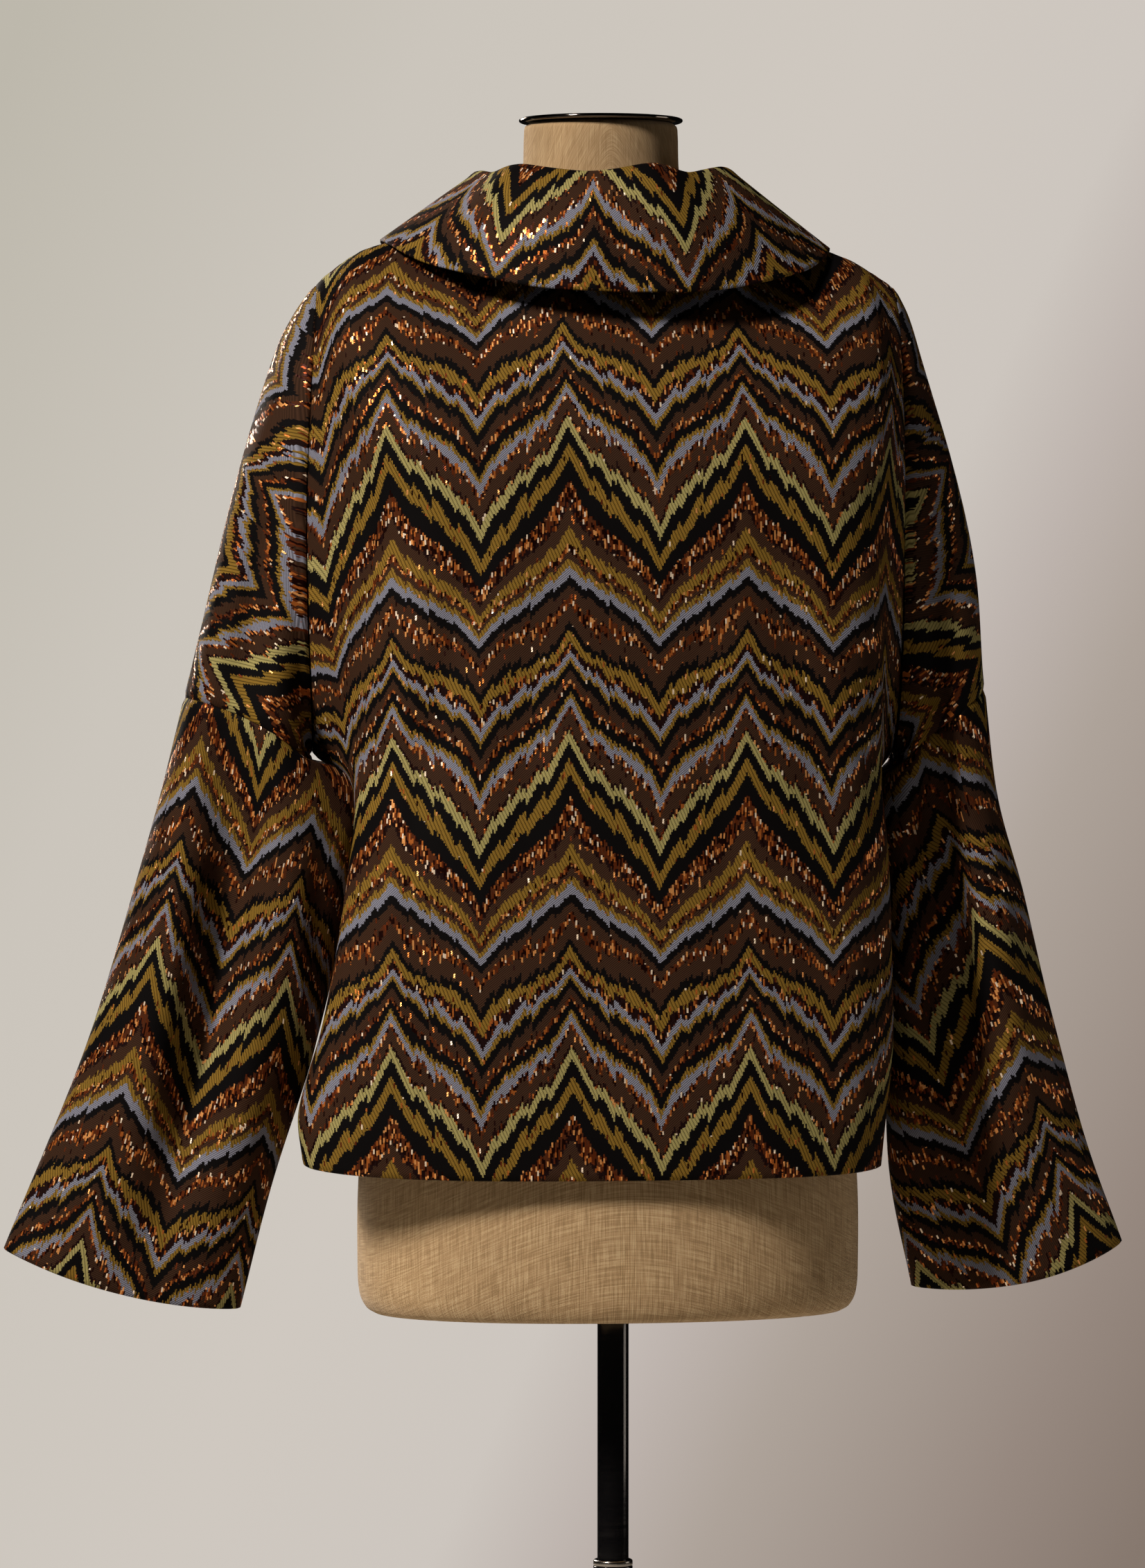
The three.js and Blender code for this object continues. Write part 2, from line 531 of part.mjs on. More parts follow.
// A closed solid through level rings, with flat ends.
function loft(table, sides) {
  const positions = [];
  const index = [];
  table.forEach((row) => {
    for (let j = 0; j < sides; j++) {
      const angle = (2 * Math.PI * j) / sides;
      const across = row.half * round(Math.cos(angle), row.n);
      const deep = row.deep * round(Math.sin(angle), row.n);
      positions.push(row.x + across, row.y + deep, row.z);
    }
  });
  const id = (i, j) => i * sides + (j % sides);
  for (let i = 0; i < table.length - 1; i++)
    for (let j = 0; j < sides; j++) {
      index.push(id(i, j), id(i, j + 1), id(i + 1, j + 1), id(i, j), id(i + 1, j + 1), id(i + 1, j));
    }
  for (const [i, up] of [[0, false], [table.length - 1, true]]) {
    const centre = positions.length / 3;
    positions.push(table[i].x, table[i].y, table[i].z);
    for (let j = 0; j < sides; j++) {
      index.push(centre, ...(up ? [id(i, j), id(i, j + 1)] : [id(i, j + 1), id(i, j)]));
    }
  }
  const geometry = new THREE.BufferGeometry();
  geometry.setAttribute("position", new THREE.Float32BufferAttribute(positions, 3));
  return geometry.setIndex(index);
}

// three.js geometry to a manifold solid and back.
function toSolid(geometry) {
  const bare = new THREE.BufferGeometry().setAttribute("position", geometry.getAttribute("position"));
  const merged = mergeVertices(geometry.index ? bare.setIndex(geometry.index) : bare, 1e-4);
  return new wasm.Manifold(
    new wasm.Mesh({
      numProp: 3,
      vertProperties: new Float32Array(merged.attributes.position.array),
      triVerts: new Uint32Array(merged.index.array),
    }),
  );
}
function fromSolid(solid) {
  const mesh = solid.getMesh();
  const geometry = new THREE.BufferGeometry();
  geometry.setAttribute("position", new THREE.BufferAttribute(new Float32Array(mesh.vertProperties), 3));
  return geometry.setIndex(new THREE.BufferAttribute(new Uint32Array(mesh.triVerts), 1));
}

// The form, with a socket for the mast in its underside.
function torso() {
  const bore = MAST.radius + MAST.clearance;
  const socket = new THREE.CylinderGeometry(bore, bore, 2 * MAST.socket, 24).rotateX(Math.PI / 2);
  socket.translate(0, 0, FORM_BOTTOM);
  return fromSolid(toSolid(loft(FORM, FORM_SIDES)).subtract(toSolid(socket)));
}

// A turned piece: profile points of [radius, height].
function turned(profile, sides = 48) {
  const geometry = new THREE.LatheGeometry(profile.map(([r, z]) => new THREE.Vector2(r, z)), sides);
  return geometry.rotateX(Math.PI / 2);
}

function neckCap() {
  const { radius, thickness, x, y } = CAP;
  const low = NECK_TOP + SEAM_GAP;
  const profile = [
    [0, low],
    [radius - 1, low],
    [radius, low + 0.8],
    [radius, low + thickness - 1],
    [radius - 2, low + thickness],
    [0, low + thickness],
  ];
  return turned(profile).translate(x, y, 0);
}

function mast() {
  const top = FORM_BOTTOM + MAST.socket - SEAM_GAP;
  return turned([[0, MAST.bottom], [MAST.radius, MAST.bottom], [MAST.radius, top], [0, top]], 24);
}

function outerTube() {
  const { radius, bore, bottom, top } = TUBE;
  return turned([[bore, bottom], [radius, bottom], [radius, top], [bore, top], [bore, bottom]], 24);
}

// The polished ring in the mouth of the outer tube.
function tubeRim() {
  const { radius, bore, top } = TUBE;
  const [low, high] = [top + SEAM_GAP, top + SEAM_GAP + RIM.height];
  const [inner, outer] = [bore + RIM.edge, radius - RIM.edge];
  const side = [[bore, low], [radius, low], [radius, high - RIM.edge]];
  return turned([...side, [outer, high], [inner, high], [bore, low]], 24);
}

// The round base with the hub that holds the outer tube.
function basePlate() {
  const { radius, edge, middle, hubRadius, hubTop, hubHeight, clearance } = BASE;
  const seat = TUBE.radius + clearance;
  const floor = TUBE.bottom - SEAM_GAP;
  const profile = [
    [0, 0],
    [radius - 1.5, 0],
    [radius, 1.5],
    [radius, edge - 2],
    [radius - 3, edge],
    [hubRadius + 5, middle],
    [hubRadius, middle + 4],
    [hubTop, hubHeight - 3],
    [hubTop - 3, hubHeight],
    [seat, hubHeight],
    [seat, floor],
    [0, floor],
  ];
  return turned(profile);
}

const material = (color, roughness, metalness = 0) =>
  new THREE.MeshStandardMaterial({ color, roughness, metalness });
const cloth = material(COLOURS.cloth, 0.75, 0.1);
const crossCloth = material(COLOURS.crossCloth, 0.75, 0.1);
const linen = material(COLOURS.linen, 0.9);
const steel = material(COLOURS.steel, 0.15, 1);
const black = material(COLOURS.black, 0.35);

function named(name, geometry, finish) {
  const mesh = new THREE.Mesh(geometry, finish);
  mesh.name = name;
  return mesh;
}

// Everything above the mast turns with the form; the mast slides in the tube.
const stand = new THREE.Group();
stand.add(named("base_plate", basePlate(), black), named("outer_tube", outerTube(), black));
stand.add(named("tube_rim", tubeRim(), steel));
const bust = new THREE.Group();
const sheets = jacketSheets();
bust.add(named("torso", torso(), linen), named("neck_cap", neckCap(), steel));
bust.add(named("collar", collar(sheets), cloth));
for (const [name, geometry] of Object.entries(jacketPieces(sheets))) {
  bust.add(named(name, geometry, name.startsWith("sleeve_top") ? crossCloth : cloth));
}

const object = new THREE.Group();
object.add(stand, named("mast", mast(), black), bust);

export default object;
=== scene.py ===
"""A boxy flame-stitch jacket on a linen dress form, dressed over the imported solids.

The tables are in millimetres and every mesh is in metres. The cloth is worked out from the same sections as
the solids that it replaces, in finer steps, with the soft creases, seams and turned hems that they leave out.
"""
from __future__ import annotations

import logging
import math
from collections.abc import Callable, Sequence
from dataclasses import dataclass
from enum import Enum
from functools import partial
from typing import Any

import bpy
import numpy as np
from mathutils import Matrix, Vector

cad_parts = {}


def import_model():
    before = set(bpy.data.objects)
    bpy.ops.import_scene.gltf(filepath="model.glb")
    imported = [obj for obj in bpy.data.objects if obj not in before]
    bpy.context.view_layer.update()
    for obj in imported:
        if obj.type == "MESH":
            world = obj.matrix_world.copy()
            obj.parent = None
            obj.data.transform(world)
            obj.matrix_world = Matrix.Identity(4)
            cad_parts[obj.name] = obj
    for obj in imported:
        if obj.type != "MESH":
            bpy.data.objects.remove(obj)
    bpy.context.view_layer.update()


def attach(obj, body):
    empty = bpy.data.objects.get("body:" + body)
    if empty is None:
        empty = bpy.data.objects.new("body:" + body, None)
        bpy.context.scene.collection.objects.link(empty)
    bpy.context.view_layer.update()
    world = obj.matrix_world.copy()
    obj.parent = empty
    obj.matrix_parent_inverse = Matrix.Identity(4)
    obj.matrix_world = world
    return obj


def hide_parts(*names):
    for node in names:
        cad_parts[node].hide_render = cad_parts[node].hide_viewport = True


LOG = logging.getLogger("jacket")
Grid = np.ndarray
Table = dict[str, np.ndarray]
Stops = Sequence[tuple[float, Any]]
MM = 0.001
LEFT, RIGHT = 1, -1
BACK, FRONT = 1, -1
HAND = {LEFT: "left", RIGHT: "right"}
CHOICES = {"Math": "operation", "VectorMath": "operation", "Mix": "data_type", "UVMap": "uv_map",
           "TexNoise": "noise_dimensions", "TexWhiteNoise": "noise_dimensions"}


def table(names: str, rows: list[list[float]]) -> Table:
    """Named columns of a short table, as arrays."""
    return dict(zip(names.split(), np.array(rows, dtype=float).T))


# The body by height. seam is the half width at the side seam, back and front how far the centres stand out,
# and wide the half width of the back's corner, behind which the cloth turns in towards the seam.
BODY = table("z seamL seamR seamY back front wideL wideR", [
    [750, 211, 177, -4, 120, -132, 221, 179],
    [780, 211, 181, -4, 120, -134, 225, 181.5],
    [804, 205, 184, -4, 119, -135, 221, 184],
    [841, 194, 187, -4, 118, -136, 211, 187],
    [898, 181, 187, -5, 116, -139, 200, 187],
    [950, 172, 184, -8, 114, -141, 192, 186],
    [985, 169, 181, -12, 112, -142, 187, 184],
    [1005, 174, 183, -16, 111, -143, 185, 182],
    [1022, 188, 189, -20, 111, -143, 183, 181],
    [1036, 207, 199, -22, 110, -143, 182, 180],
    [1090, 207, 199, -22, 108, -143, 176, 177],
    [1160, 207, 199, -22, 105, -142, 168, 173],
    [1230, 207, 199, -22, 100, -137, 164, 171],
    [1290, 206, 200, -22, 87, -124, 166, 170],
    [1345, 205, 200, -22, 62, -99, 172, 170],
    [1397, 205, 200, -22, 31, -70, 172, 170],
])
FOLD_FADES = (1180, 1330)
HEM_RISE = {LEFT: 20, RIGHT: 13}
TOP_FROM = 0.55
TO_CORNER = [(0, 0), (0.42, 0.03), (0.8, 0.16), (0.97, 0.36)]
TO_SEAM = [(0.18, 0.58, 0), (0.55, 0.8, 0.5)]
FRONT_CORNER = 3
FLAT_CORNER = 0.93
HALF_COLUMNS = 12
NECK_COLUMNS = 5
UNDERARM_Z = 1036
SHOULDER_Y = -22
SHOULDER_BOW = {LEFT: 9, RIGHT: 3.5}
NECK_POINT = (80, -30, 1412)
NECK = {BACK: (31, 1397), FRONT: (-101, 1338)}
FRONT_OPENING = 2

# A sleeve by t, from the armhole at 0 to the cuff at 1. out and in are the edges seen from behind.
SLEEVES = {
    LEFT: table("t outX outZ inX inZ y back front edge at valley dip", [
        [0, 205.5, 1360, 207, 1036, -22, 56, 51, 2.1, 0.4, 0, 9],
        [0.05, 220, 1339, 208.5, 1034.5, -22, 56, 52, 2.1, 0.4, 1, 8],
        [0.1, 232.5, 1313, 209.5, 1033, -22, 56, 53, 2.1, 0.4, 3, 7],
        [0.19, 253.5, 1246, 210, 1031, -21, 56, 54, 2.1, 0.38, 7, 4],
        [0.29, 275.5, 1162, 209.5, 1029, -20, 56, 55, 2.1, 0.33, 10, -2],
        [0.39, 296, 1075, 206.5, 1026, -20, 55, 54, 2.1, 0.28, 15, -7],
        [0.49, 313, 1003, 178, 978, -20, 53, 52, 2.1, 0.32, 23, -4],
        [0.61, 334, 932, 189, 903, -21, 48, 48, 2, 0.43, 24, 0],
        [0.74, 361, 844, 207, 826, -22, 42, 42, 1.9, 0.5, 19, 2],
        [0.87, 392, 764, 235, 738, -24, 35, 36, 1.8, 0.53, 11, 6],
        [1, 420.5, 695, 257, 652, -26, 28, 32, 1.8, 0.55, 4, 9],
    ]),
    RIGHT: table("t outX outZ inX inZ y back front edge at valley dip", [
        [0, 200, 1361, 199, 1036, -22, 56, 51, 2.1, 0.5, 0, 0],
        [0.05, 209.5, 1341, 200.5, 1034.5, -22, 56, 52, 2.1, 0.5, 1, 0],
        [0.1, 218, 1313, 201.5, 1033, -22, 56, 53, 2.1, 0.5, 3, 0],
        [0.19, 237.5, 1246, 202, 1031, -22, 55, 54, 2.1, 0.52, 8, 0],
        [0.29, 254, 1162, 201, 1029, -22, 54, 55, 2.1, 0.56, 12, 0],
        [0.39, 263.5, 1080, 197.5, 1026, -22, 52, 54, 2.1, 0.6, 15, -3],
        [0.49, 272.5, 1006, 190, 978, -22, 50, 52, 2.1, 0.62, 20, -2],
        [0.61, 291.5, 938, 194, 905, -22, 48, 48, 2, 0.68, 22, 0],
        [0.74, 314, 850, 195, 828, -23, 43, 43, 1.9, 0.72, 18, 2],
        [0.87, 337, 766, 198, 742, -25, 37, 37, 1.8, 0.74, 10, 7],
        [1, 363.5, 692, 214, 662, -27, 30, 32, 1.8, 0.75, 4, 11],
    ]),
}
RING_SEAM_T = 0.39
SLEEVE_LEAN = {LEFT: 17.7, RIGHT: 13.7}
VALLEY_WIDTH = 0.204
FRONT_VALLEY = 0.5

# The collar by angle round the neck, 0 at the centre back and 180 at the centre front.
COLLAR = table("turn foldR foldZ edgeR edgeZ belly", [
    [0, 84, 1437, 116, 1352, 7],
    [30, 86, 1437.5, 127, 1355, 7],
    [60, 88, 1438, 147, 1370, 4],
    [90, 89, 1438, 156, 1389.3, 0],
    [120, 85, 1427, 133, 1358, 3],
    [150, 80, 1400, 113, 1312, 4],
    [180, 77, 1374, 103, 1272, 4],
])
COLLAR_Y, FOLD_X, EDGE_X, EDGE_TILT = -34, 3, 2, 2
FOOT_LIFT, COLLAR_RISE = 0.3, 5
ROLL = {"inside": 6, "inside_drop": 4, "outside": 7, "outside_drop": 5}
STAND_LEAN, BELLY_RISE = 0.55, 0.6
FOLD_WAVES = table("turn rise width", [
    [-62, 3, 12],
    [-34, -3, 10],
    [-18, 3.5, 13],
    [14, -2.5, 14],
    [48, 3, 12],
    [66, -2, 9],
])

# The dress form by height: half width, half depth, where its middle is, and its squareness.
FORM = table("z half deep x y n", [
    [650, 163, 101, 3, -4, 2.2],
    [653, 168, 106, 3, -4, 2.2],
    [662, 172.5, 110, 3, -4, 2.2],
    [680, 174, 112, 3, -4, 2.2],
    [740, 173.5, 111, 3, -4, 2.2],
    [800, 168, 106, 3, -5, 2.15],
    [850, 153, 98, 3, -7, 2.1],
    [900, 134, 88, 3, -10, 2.1],
    [950, 122, 82, 3, -13, 2.1],
    [1010, 126, 90, 3, -15, 2.1],
    [1075, 138, 105, 4, -17, 2.1],
    [1140, 146, 114, 4, -19, 2.15],
    [1200, 150, 109, 4, -18, 2.2],
    [1250, 157, 98, 4, -18, 2.2],
    [1290, 168, 87, 4, -20, 2.2],
    [1315, 175, 80, 4, -21, 2],
    [1338, 176, 70, 3, -22, 1.8],
    [1356, 172, 57, 2, -23, 1.65],
    [1374, 158, 55, 2, -22, 1.25],
    [1386, 128, 52, 2, -22, 1.2],
    [1396, 90, 52, 3, -27, 1.3],
    [1404, 72, 54, 4.5, -30, 1.6],
    [1416, 59, 53, 4.5, -32, 1.9],
    [1440, 54.5, 52.5, 4.5, -34, 2],
    [1467, 53.5, 52, 4.5, -34, 2],
    [1472, 52.5, 51, 4.5, -34, 2],
    [1474, 49, 48, 4.5, -34, 2],
])


def cubic(f: Grid, a: Grid, b: Grid, into: Grid, out: Grid) -> Grid:
    """A cubic from a to b as f goes from 0 to 1, with the given slopes at its two ends."""
    f2, f3 = f ** 2, f ** 3
    return (2 * f3 - 3 * f2 + 1) * a + (f3 - 2 * f2 + f) * into + (3 * f2 - 2 * f3) * b + (f3 - f2) * out


def read(rows: Table, key: str, where: Grid) -> Table:
    """Values of every column on a smooth curve through a table's rows.

    Each span is a cubic whose end slopes are those between the row before it and the row after it.

    Args:
        rows: the table.
        key: the column that the curve runs along.
        where: values of that column, of any shape.

    Returns:
        The other columns' values there.
    """
    x = rows[key]
    last = len(x) - 1
    b = np.clip(np.searchsorted(x, where, side="right") - 1, 0, last - 1)
    a, c, d = np.maximum(b - 1, 0), b + 1, np.minimum(b + 2, last)
    step = x[c] - x[b]
    f = np.clip((where - x[b]) / step, 0, 1)
    made = {}
    for name, v in rows.items():
        into = (v[c] - v[a]) / (x[c] - x[a]) * step
        out = (v[d] - v[b]) / (x[d] - x[b]) * step
        made[name] = cubic(f, v[b], v[c], into, out)
    return made


def smoothstep(x: Grid, low: float, high: float) -> Grid:
    """0 below low, 1 above high, and a smooth step between."""
    f = np.clip((x - low) / (high - low), 0, 1)
    return f * f * (3 - 2 * f)


def superellipse(value: Grid, n: Grid) -> Grid:
    """A superellipse's cosine or sine, from the circle's."""
    return np.sign(value) * np.abs(value) ** (2 / n)


def bump(x: Grid, width: Grid | float) -> Grid:
    """A bell that is 1 at 0 and has fallen to 1/e at the width."""
    return np.exp(-((x / width) ** 2))


def along(lines: Grid, shares: Grid) -> Grid:
    """Points at the given shares of each line's length.

    Args:
        lines: (lines, points, 3).
        shares: from 0 to 1.

    Returns:
        (lines, shares, 3).
    """
    steps = np.linalg.norm(np.diff(lines, axis=1), axis=2)
    length = np.concatenate([np.zeros((len(lines), 1)), np.cumsum(steps, axis=1)], axis=1)
    made = [[np.interp(shares * l[-1], l, line[:, k]) for k in range(3)] for l, line in zip(length, lines)]
    return np.moveaxis(np.array(made), 1, 2)


def spline(points: Grid, samples: int, power: float) -> Grid:
    """Catmull-Rom curves from each line's second point to its last but one.

    A span's knot step is its squared length to the given power, so that power 0 is the uniform curve and 0.25
    the centripetal one.

    Args:
        points: (lines, points, 3).
        samples: steps along the whole curve.
        power: the knots' power.

    Returns:
        (lines, samples + 1, 3).
    """
    knots = np.maximum(np.sum(np.diff(points, axis=1) ** 2, axis=2), 1e-6) ** power
    spans = points.shape[1] - 3
    where = np.linspace(0, spans, samples + 1)
    i = np.minimum(where.astype(int), spans - 1)
    f = (where - i)[None, :, None]
    p0, p1, p2, p3 = (points[:, i + k] for k in range(4))
    d0, d1, d2 = (knots[:, i + k, None] for k in range(3))
    into = ((p1 - p0) / d0 - (p2 - p0) / (d0 + d1) + (p2 - p1) / d1) * d1
    out = ((p2 - p1) / d1 - (p3 - p1) / (d1 + d2) + (p3 - p2) / d2) * d1
    return cubic(f, p1, p2, into, out)


def extended(points: Grid) -> Grid:
    """Lines with a mirrored point added at each end, for spline."""
    first = 2 * points[:, :1] - points[:, 1:2]
    last = 2 * points[:, -1:] - points[:, -2:-1]
    return np.concatenate([first, points, last], axis=1)


def lengths(points: Grid, axis: int) -> Grid:
    """Distance along a grid's rows (axis 1) or columns (axis 0), from their first points."""
    steps = np.linalg.norm(np.diff(points, axis=axis), axis=2)
    start = np.zeros_like(steps[:1] if axis == 0 else steps[:, :1])
    return np.concatenate([start, np.cumsum(steps, axis=axis)], axis=axis)


def half_ring(side: int, t: Grid, face: int, shares: Grid) -> Grid:
    """Half sleeve rings from the inner edge to the outer one.

    A ring is a superellipse between the two edges. A lengthwise crease pushes the back in where the table
    says, and half as deep the front.

    Args:
        side: LEFT or RIGHT.
        t: places along the sleeve.
        face: over the BACK or the FRONT.
        shares: places along each half ring.

    Returns:
        (t, shares, 3) in millimetres.
    """
    angle = face * np.pi * (1 - np.arange(181) / 180)[None, :]
    row = {name: v[:, None] for name, v in read(SLEEVES[side], "t", t).items()}
    across = superellipse(np.cos(angle), row["edge"])
    deep = superellipse(np.sin(angle), row["edge"])
    wide, high = row["outX"] - row["inX"], row["outZ"] - row["inZ"]
    length = np.hypot(wide, high)
    crease = row["valley"] * bump((1 - across) / 2 - row["at"], VALLEY_WIDTH)
    reach = row["back"] - crease if face == BACK else row["front"] - FRONT_VALLEY * crease
    dip = row["dip"] * (1 - across**2)
    x = (row["outX"] + row["inX"]) / 2 + wide / 2 * across + dip * high / length
    z = (row["outZ"] + row["inZ"]) / 2 + high / 2 * across - dip * wide / length
    return along(np.stack([side * x, row["y"] + reach * deep, z], axis=-1), shares)


def top_edge(side: int, face: int, column: Grid) -> Grid:
    """Top edge of a panel: a quarter ellipse from the centre to the neck point, then on to the shoulder.

    Args:
        side: LEFT or RIGHT.
        face: BACK or FRONT.
        column: places along it, in columns of the panel.

    Returns:
        (columns, 3) in millimetres.
    """
    neck_y, neck_z = NECK[face]
    px, py, pz = NECK_POINT
    centre = 0 if face == BACK else FRONT_OPENING
    angle = np.minimum(column / NECK_COLUMNS, 1) * np.pi / 2
    s, c = np.sin(angle), np.cos(angle)
    curve = np.stack([centre + (px - centre) * s, py + (neck_y - py) * c, neck_z + (pz - neck_z) * s**2],
                     axis=-1)
    f = np.clip((column - NECK_COLUMNS) / (HALF_COLUMNS - NECK_COLUMNS), 0, 1)
    tip_x, tip_z = SLEEVES[side]["outX"][0], SLEEVES[side]["outZ"][0]
    bow = SHOULDER_BOW[side] * np.sin(np.pi * f**2)
    seam = np.stack([px + (tip_x - px) * f, py + (SHOULDER_Y - py) * f, pz + (tip_z - pz) * f + bow],
                    axis=-1)
    made = np.where((column > NECK_COLUMNS)[:, None], seam, curve)
    made[:, 0] *= side
    return made


def half_section(side: int, face: int, z: Grid, edge: Grid, shares: Grid) -> Grid:
    """Half cross-sections of the body, from the centre of the back or front to an edge point at the side.

    A smooth curve runs through shares of the way to the corner, then through shares of the way to the seam.

    Args:
        side: LEFT or RIGHT.
        face: BACK or FRONT.
        z: heights.
        edge: (heights, 3) points at the side.
        shares: places along each section.

    Returns:
        (heights, shares, 3) in millimetres.
    """
    row = read(BODY, "z", z)
    fade = 1 - smoothstep(z, *FOLD_FADES)
    folded = row["wideL"] if side == LEFT else row["wideR"]
    edge_x = np.abs(edge[:, 0])
    flat = edge_x * FLAT_CORNER
    wide = flat + (folded - flat) * fade if face == BACK else np.minimum(folded, edge_x) - FRONT_CORNER
    middle = row["back"] if face == BACK else row["front"]
    depth = middle - edge[:, 1]
    start = 0 if face == BACK else FRONT_OPENING
    points = [[side * (start + a * (wide - start)), middle - d * depth, z] for a, d in TO_CORNER]
    points += [[side * (wide + a * (edge_x - wide)), middle - d * depth, z + r * (edge[:, 2] - z)]
               for a, d, r in TO_SEAM]
    points = np.array([*points, edge.T]).transpose(2, 0, 1)
    first = points[:, :1] * [2, 1, 1] - points[:, 1:2] * [1, 0, 0]
    first[:, :, 1] = points[:, 1:2, 1]
    last = 2 * points[:, -1:] - points[:, -2:-1]
    return along(spline(np.concatenate([first, points, last], axis=1), 240, 0), shares)


def half_panel(side: int, face: int, steps: Steps) -> Grid:
    """Rows of outer points of the back or front on one side, from the centre to the side, hem row first.

    Below the underarm the rows are level sections whose ends rise a little to the side seam. Above it they
    end on the armhole, and bend up towards the shoulder and neckline as the square of the height.

    Args:
        side: LEFT or RIGHT.
        face: BACK or FRONT.
        steps: how many rows and columns.

    Returns:
        (rows, columns, 3) in millimetres.
    """
    shares = np.linspace(0, 1, steps.across + 1)
    column = shares * HALF_COLUMNS
    up = np.arange(steps.low) / steps.low
    z = BODY["z"][0] + (UNDERARM_Z - BODY["z"][0]) * up
    row = read(BODY, "z", z)
    seam = side * (row["seamL"] if side == LEFT else row["seamR"])
    low = half_section(side, face, z, np.stack([seam, row["seamY"], z], axis=-1), shares)
    low[:, :, 2] += HEM_RISE[side] * (1 - up[:, None]) ** 2 * shares**4
    up = np.linspace(0, 1, steps.high + 1)
    armhole = half_ring(side, np.zeros(1), face, up)[0]
    z = UNDERARM_Z + (NECK[face][1] - UNDERARM_Z) * up
    high = half_section(side, face, z, armhole, shares)
    lift = (np.maximum(0, (up - TOP_FROM) / (1 - TOP_FROM)) ** 2)[:, None, None]
    goal = top_edge(side, face, column) + (armhole - armhole[-1])[:, None] * (shares**3)[None, :, None]
    return np.concatenate([low, high + (goal - high) * lift])


@dataclass(frozen=True)
class Steps:
    """How finely the cloth is cut into faces."""

    low: int = 72
    high: int = 92
    across: int = 84
    sleeve_top: int = 64
    sleeve_low: int = 104
    half_ring: int = 72
    collar_up: int = 56
    collar_round: int = 320


class Hold(Enum):
    """How a cloth piece is held."""

    HUNG = "hung"
    DRAPED = "draped"


def linear(colour: str, alpha: float = 1) -> tuple[float, float, float, float]:
    """Linear colour of an sRGB hex value such as '8a6a22'."""
    parts = [int(colour[i:i + 2], 16) / 255 for i in (0, 2, 4)]
    r, g, b = (c / 12.92 if c <= 0.04045 else ((c + 0.055) / 1.055) ** 2.4 for c in parts)
    return r, g, b, alpha


def put(tree: bpy.types.NodeTree, kind: str, *first: Any, stops: Stops = (), **sockets: Any) -> Any:
    """Adds a node with its settings and links.

    A value is a number, a vector, a colour, another node's output, or a node for that node's first output.

    Args:
        tree: the material's or world's nodes.
        kind: Blender's name for the node without ShaderNode, and after a space its choice, which CHOICES
            names, or how a colour ramp runs between its stops.
        first: values of its first inputs, in order.
        stops: places and colours of a colour ramp; a colour is a hex value or linear.
        sockets: values of other inputs by name, with _ for a space, or by number as i6.

    Returns:
        The node.
    """
    name, _, choice = kind.partition(" ")
    node = tree.nodes.new("ShaderNode" + name)
    if stops:
        ramp = node.color_ramp
        ramp.interpolation = choice
        while len(ramp.elements) < len(stops):
            ramp.elements.new(1)
        for element, (place, colour) in zip(ramp.elements, stops):
            element.position = place
            element.color = linear(colour) if isinstance(colour, str) else colour
    elif choice:
        setattr(node, CHOICES[name], choice)
    for key, value in [*enumerate(first), *sockets.items()]:
        if isinstance(key, str):
            key = int(key[1:]) if key[1:].isdigit() else key.replace("_", " ")
        if isinstance(value, bpy.types.Node):
            value = value.outputs[0]
        if isinstance(value, bpy.types.NodeSocket):
            tree.links.new(value, node.inputs[key])
        else:
            node.inputs[key].default_value = value
    return node


def new_material(name: str) -> tuple[bpy.types.Material, Callable[..., Any]]:
    """An empty node material, and put for its nodes."""
    material = bpy.data.materials.new(name)
    material.use_nodes = True
    material.node_tree.nodes.clear()
    return material, partial(put, material.node_tree)


class Yarn(Enum):
    """The jacquard's yarns: colour, share of metal thread, depth of the warp ribs and of the twill lines."""

    BLACK = ("070607", 0.0, 0.15, 0.1)
    BROWN = ("362419", 0.03, 0.0, 1.0)
    MUSTARD = ("7c6227", 0.05, 1.3, 0.0)
    OLIVE = ("968f5c", 0.0, 1.15, 0.0)
    GREY = ("7c8091", 0.0, 0.1, 1.2)
    COPPER = ("40200f", 0.74, 0.3, 0.0)
    WINE = ("160808", 0.36, 0.5, 0.0)


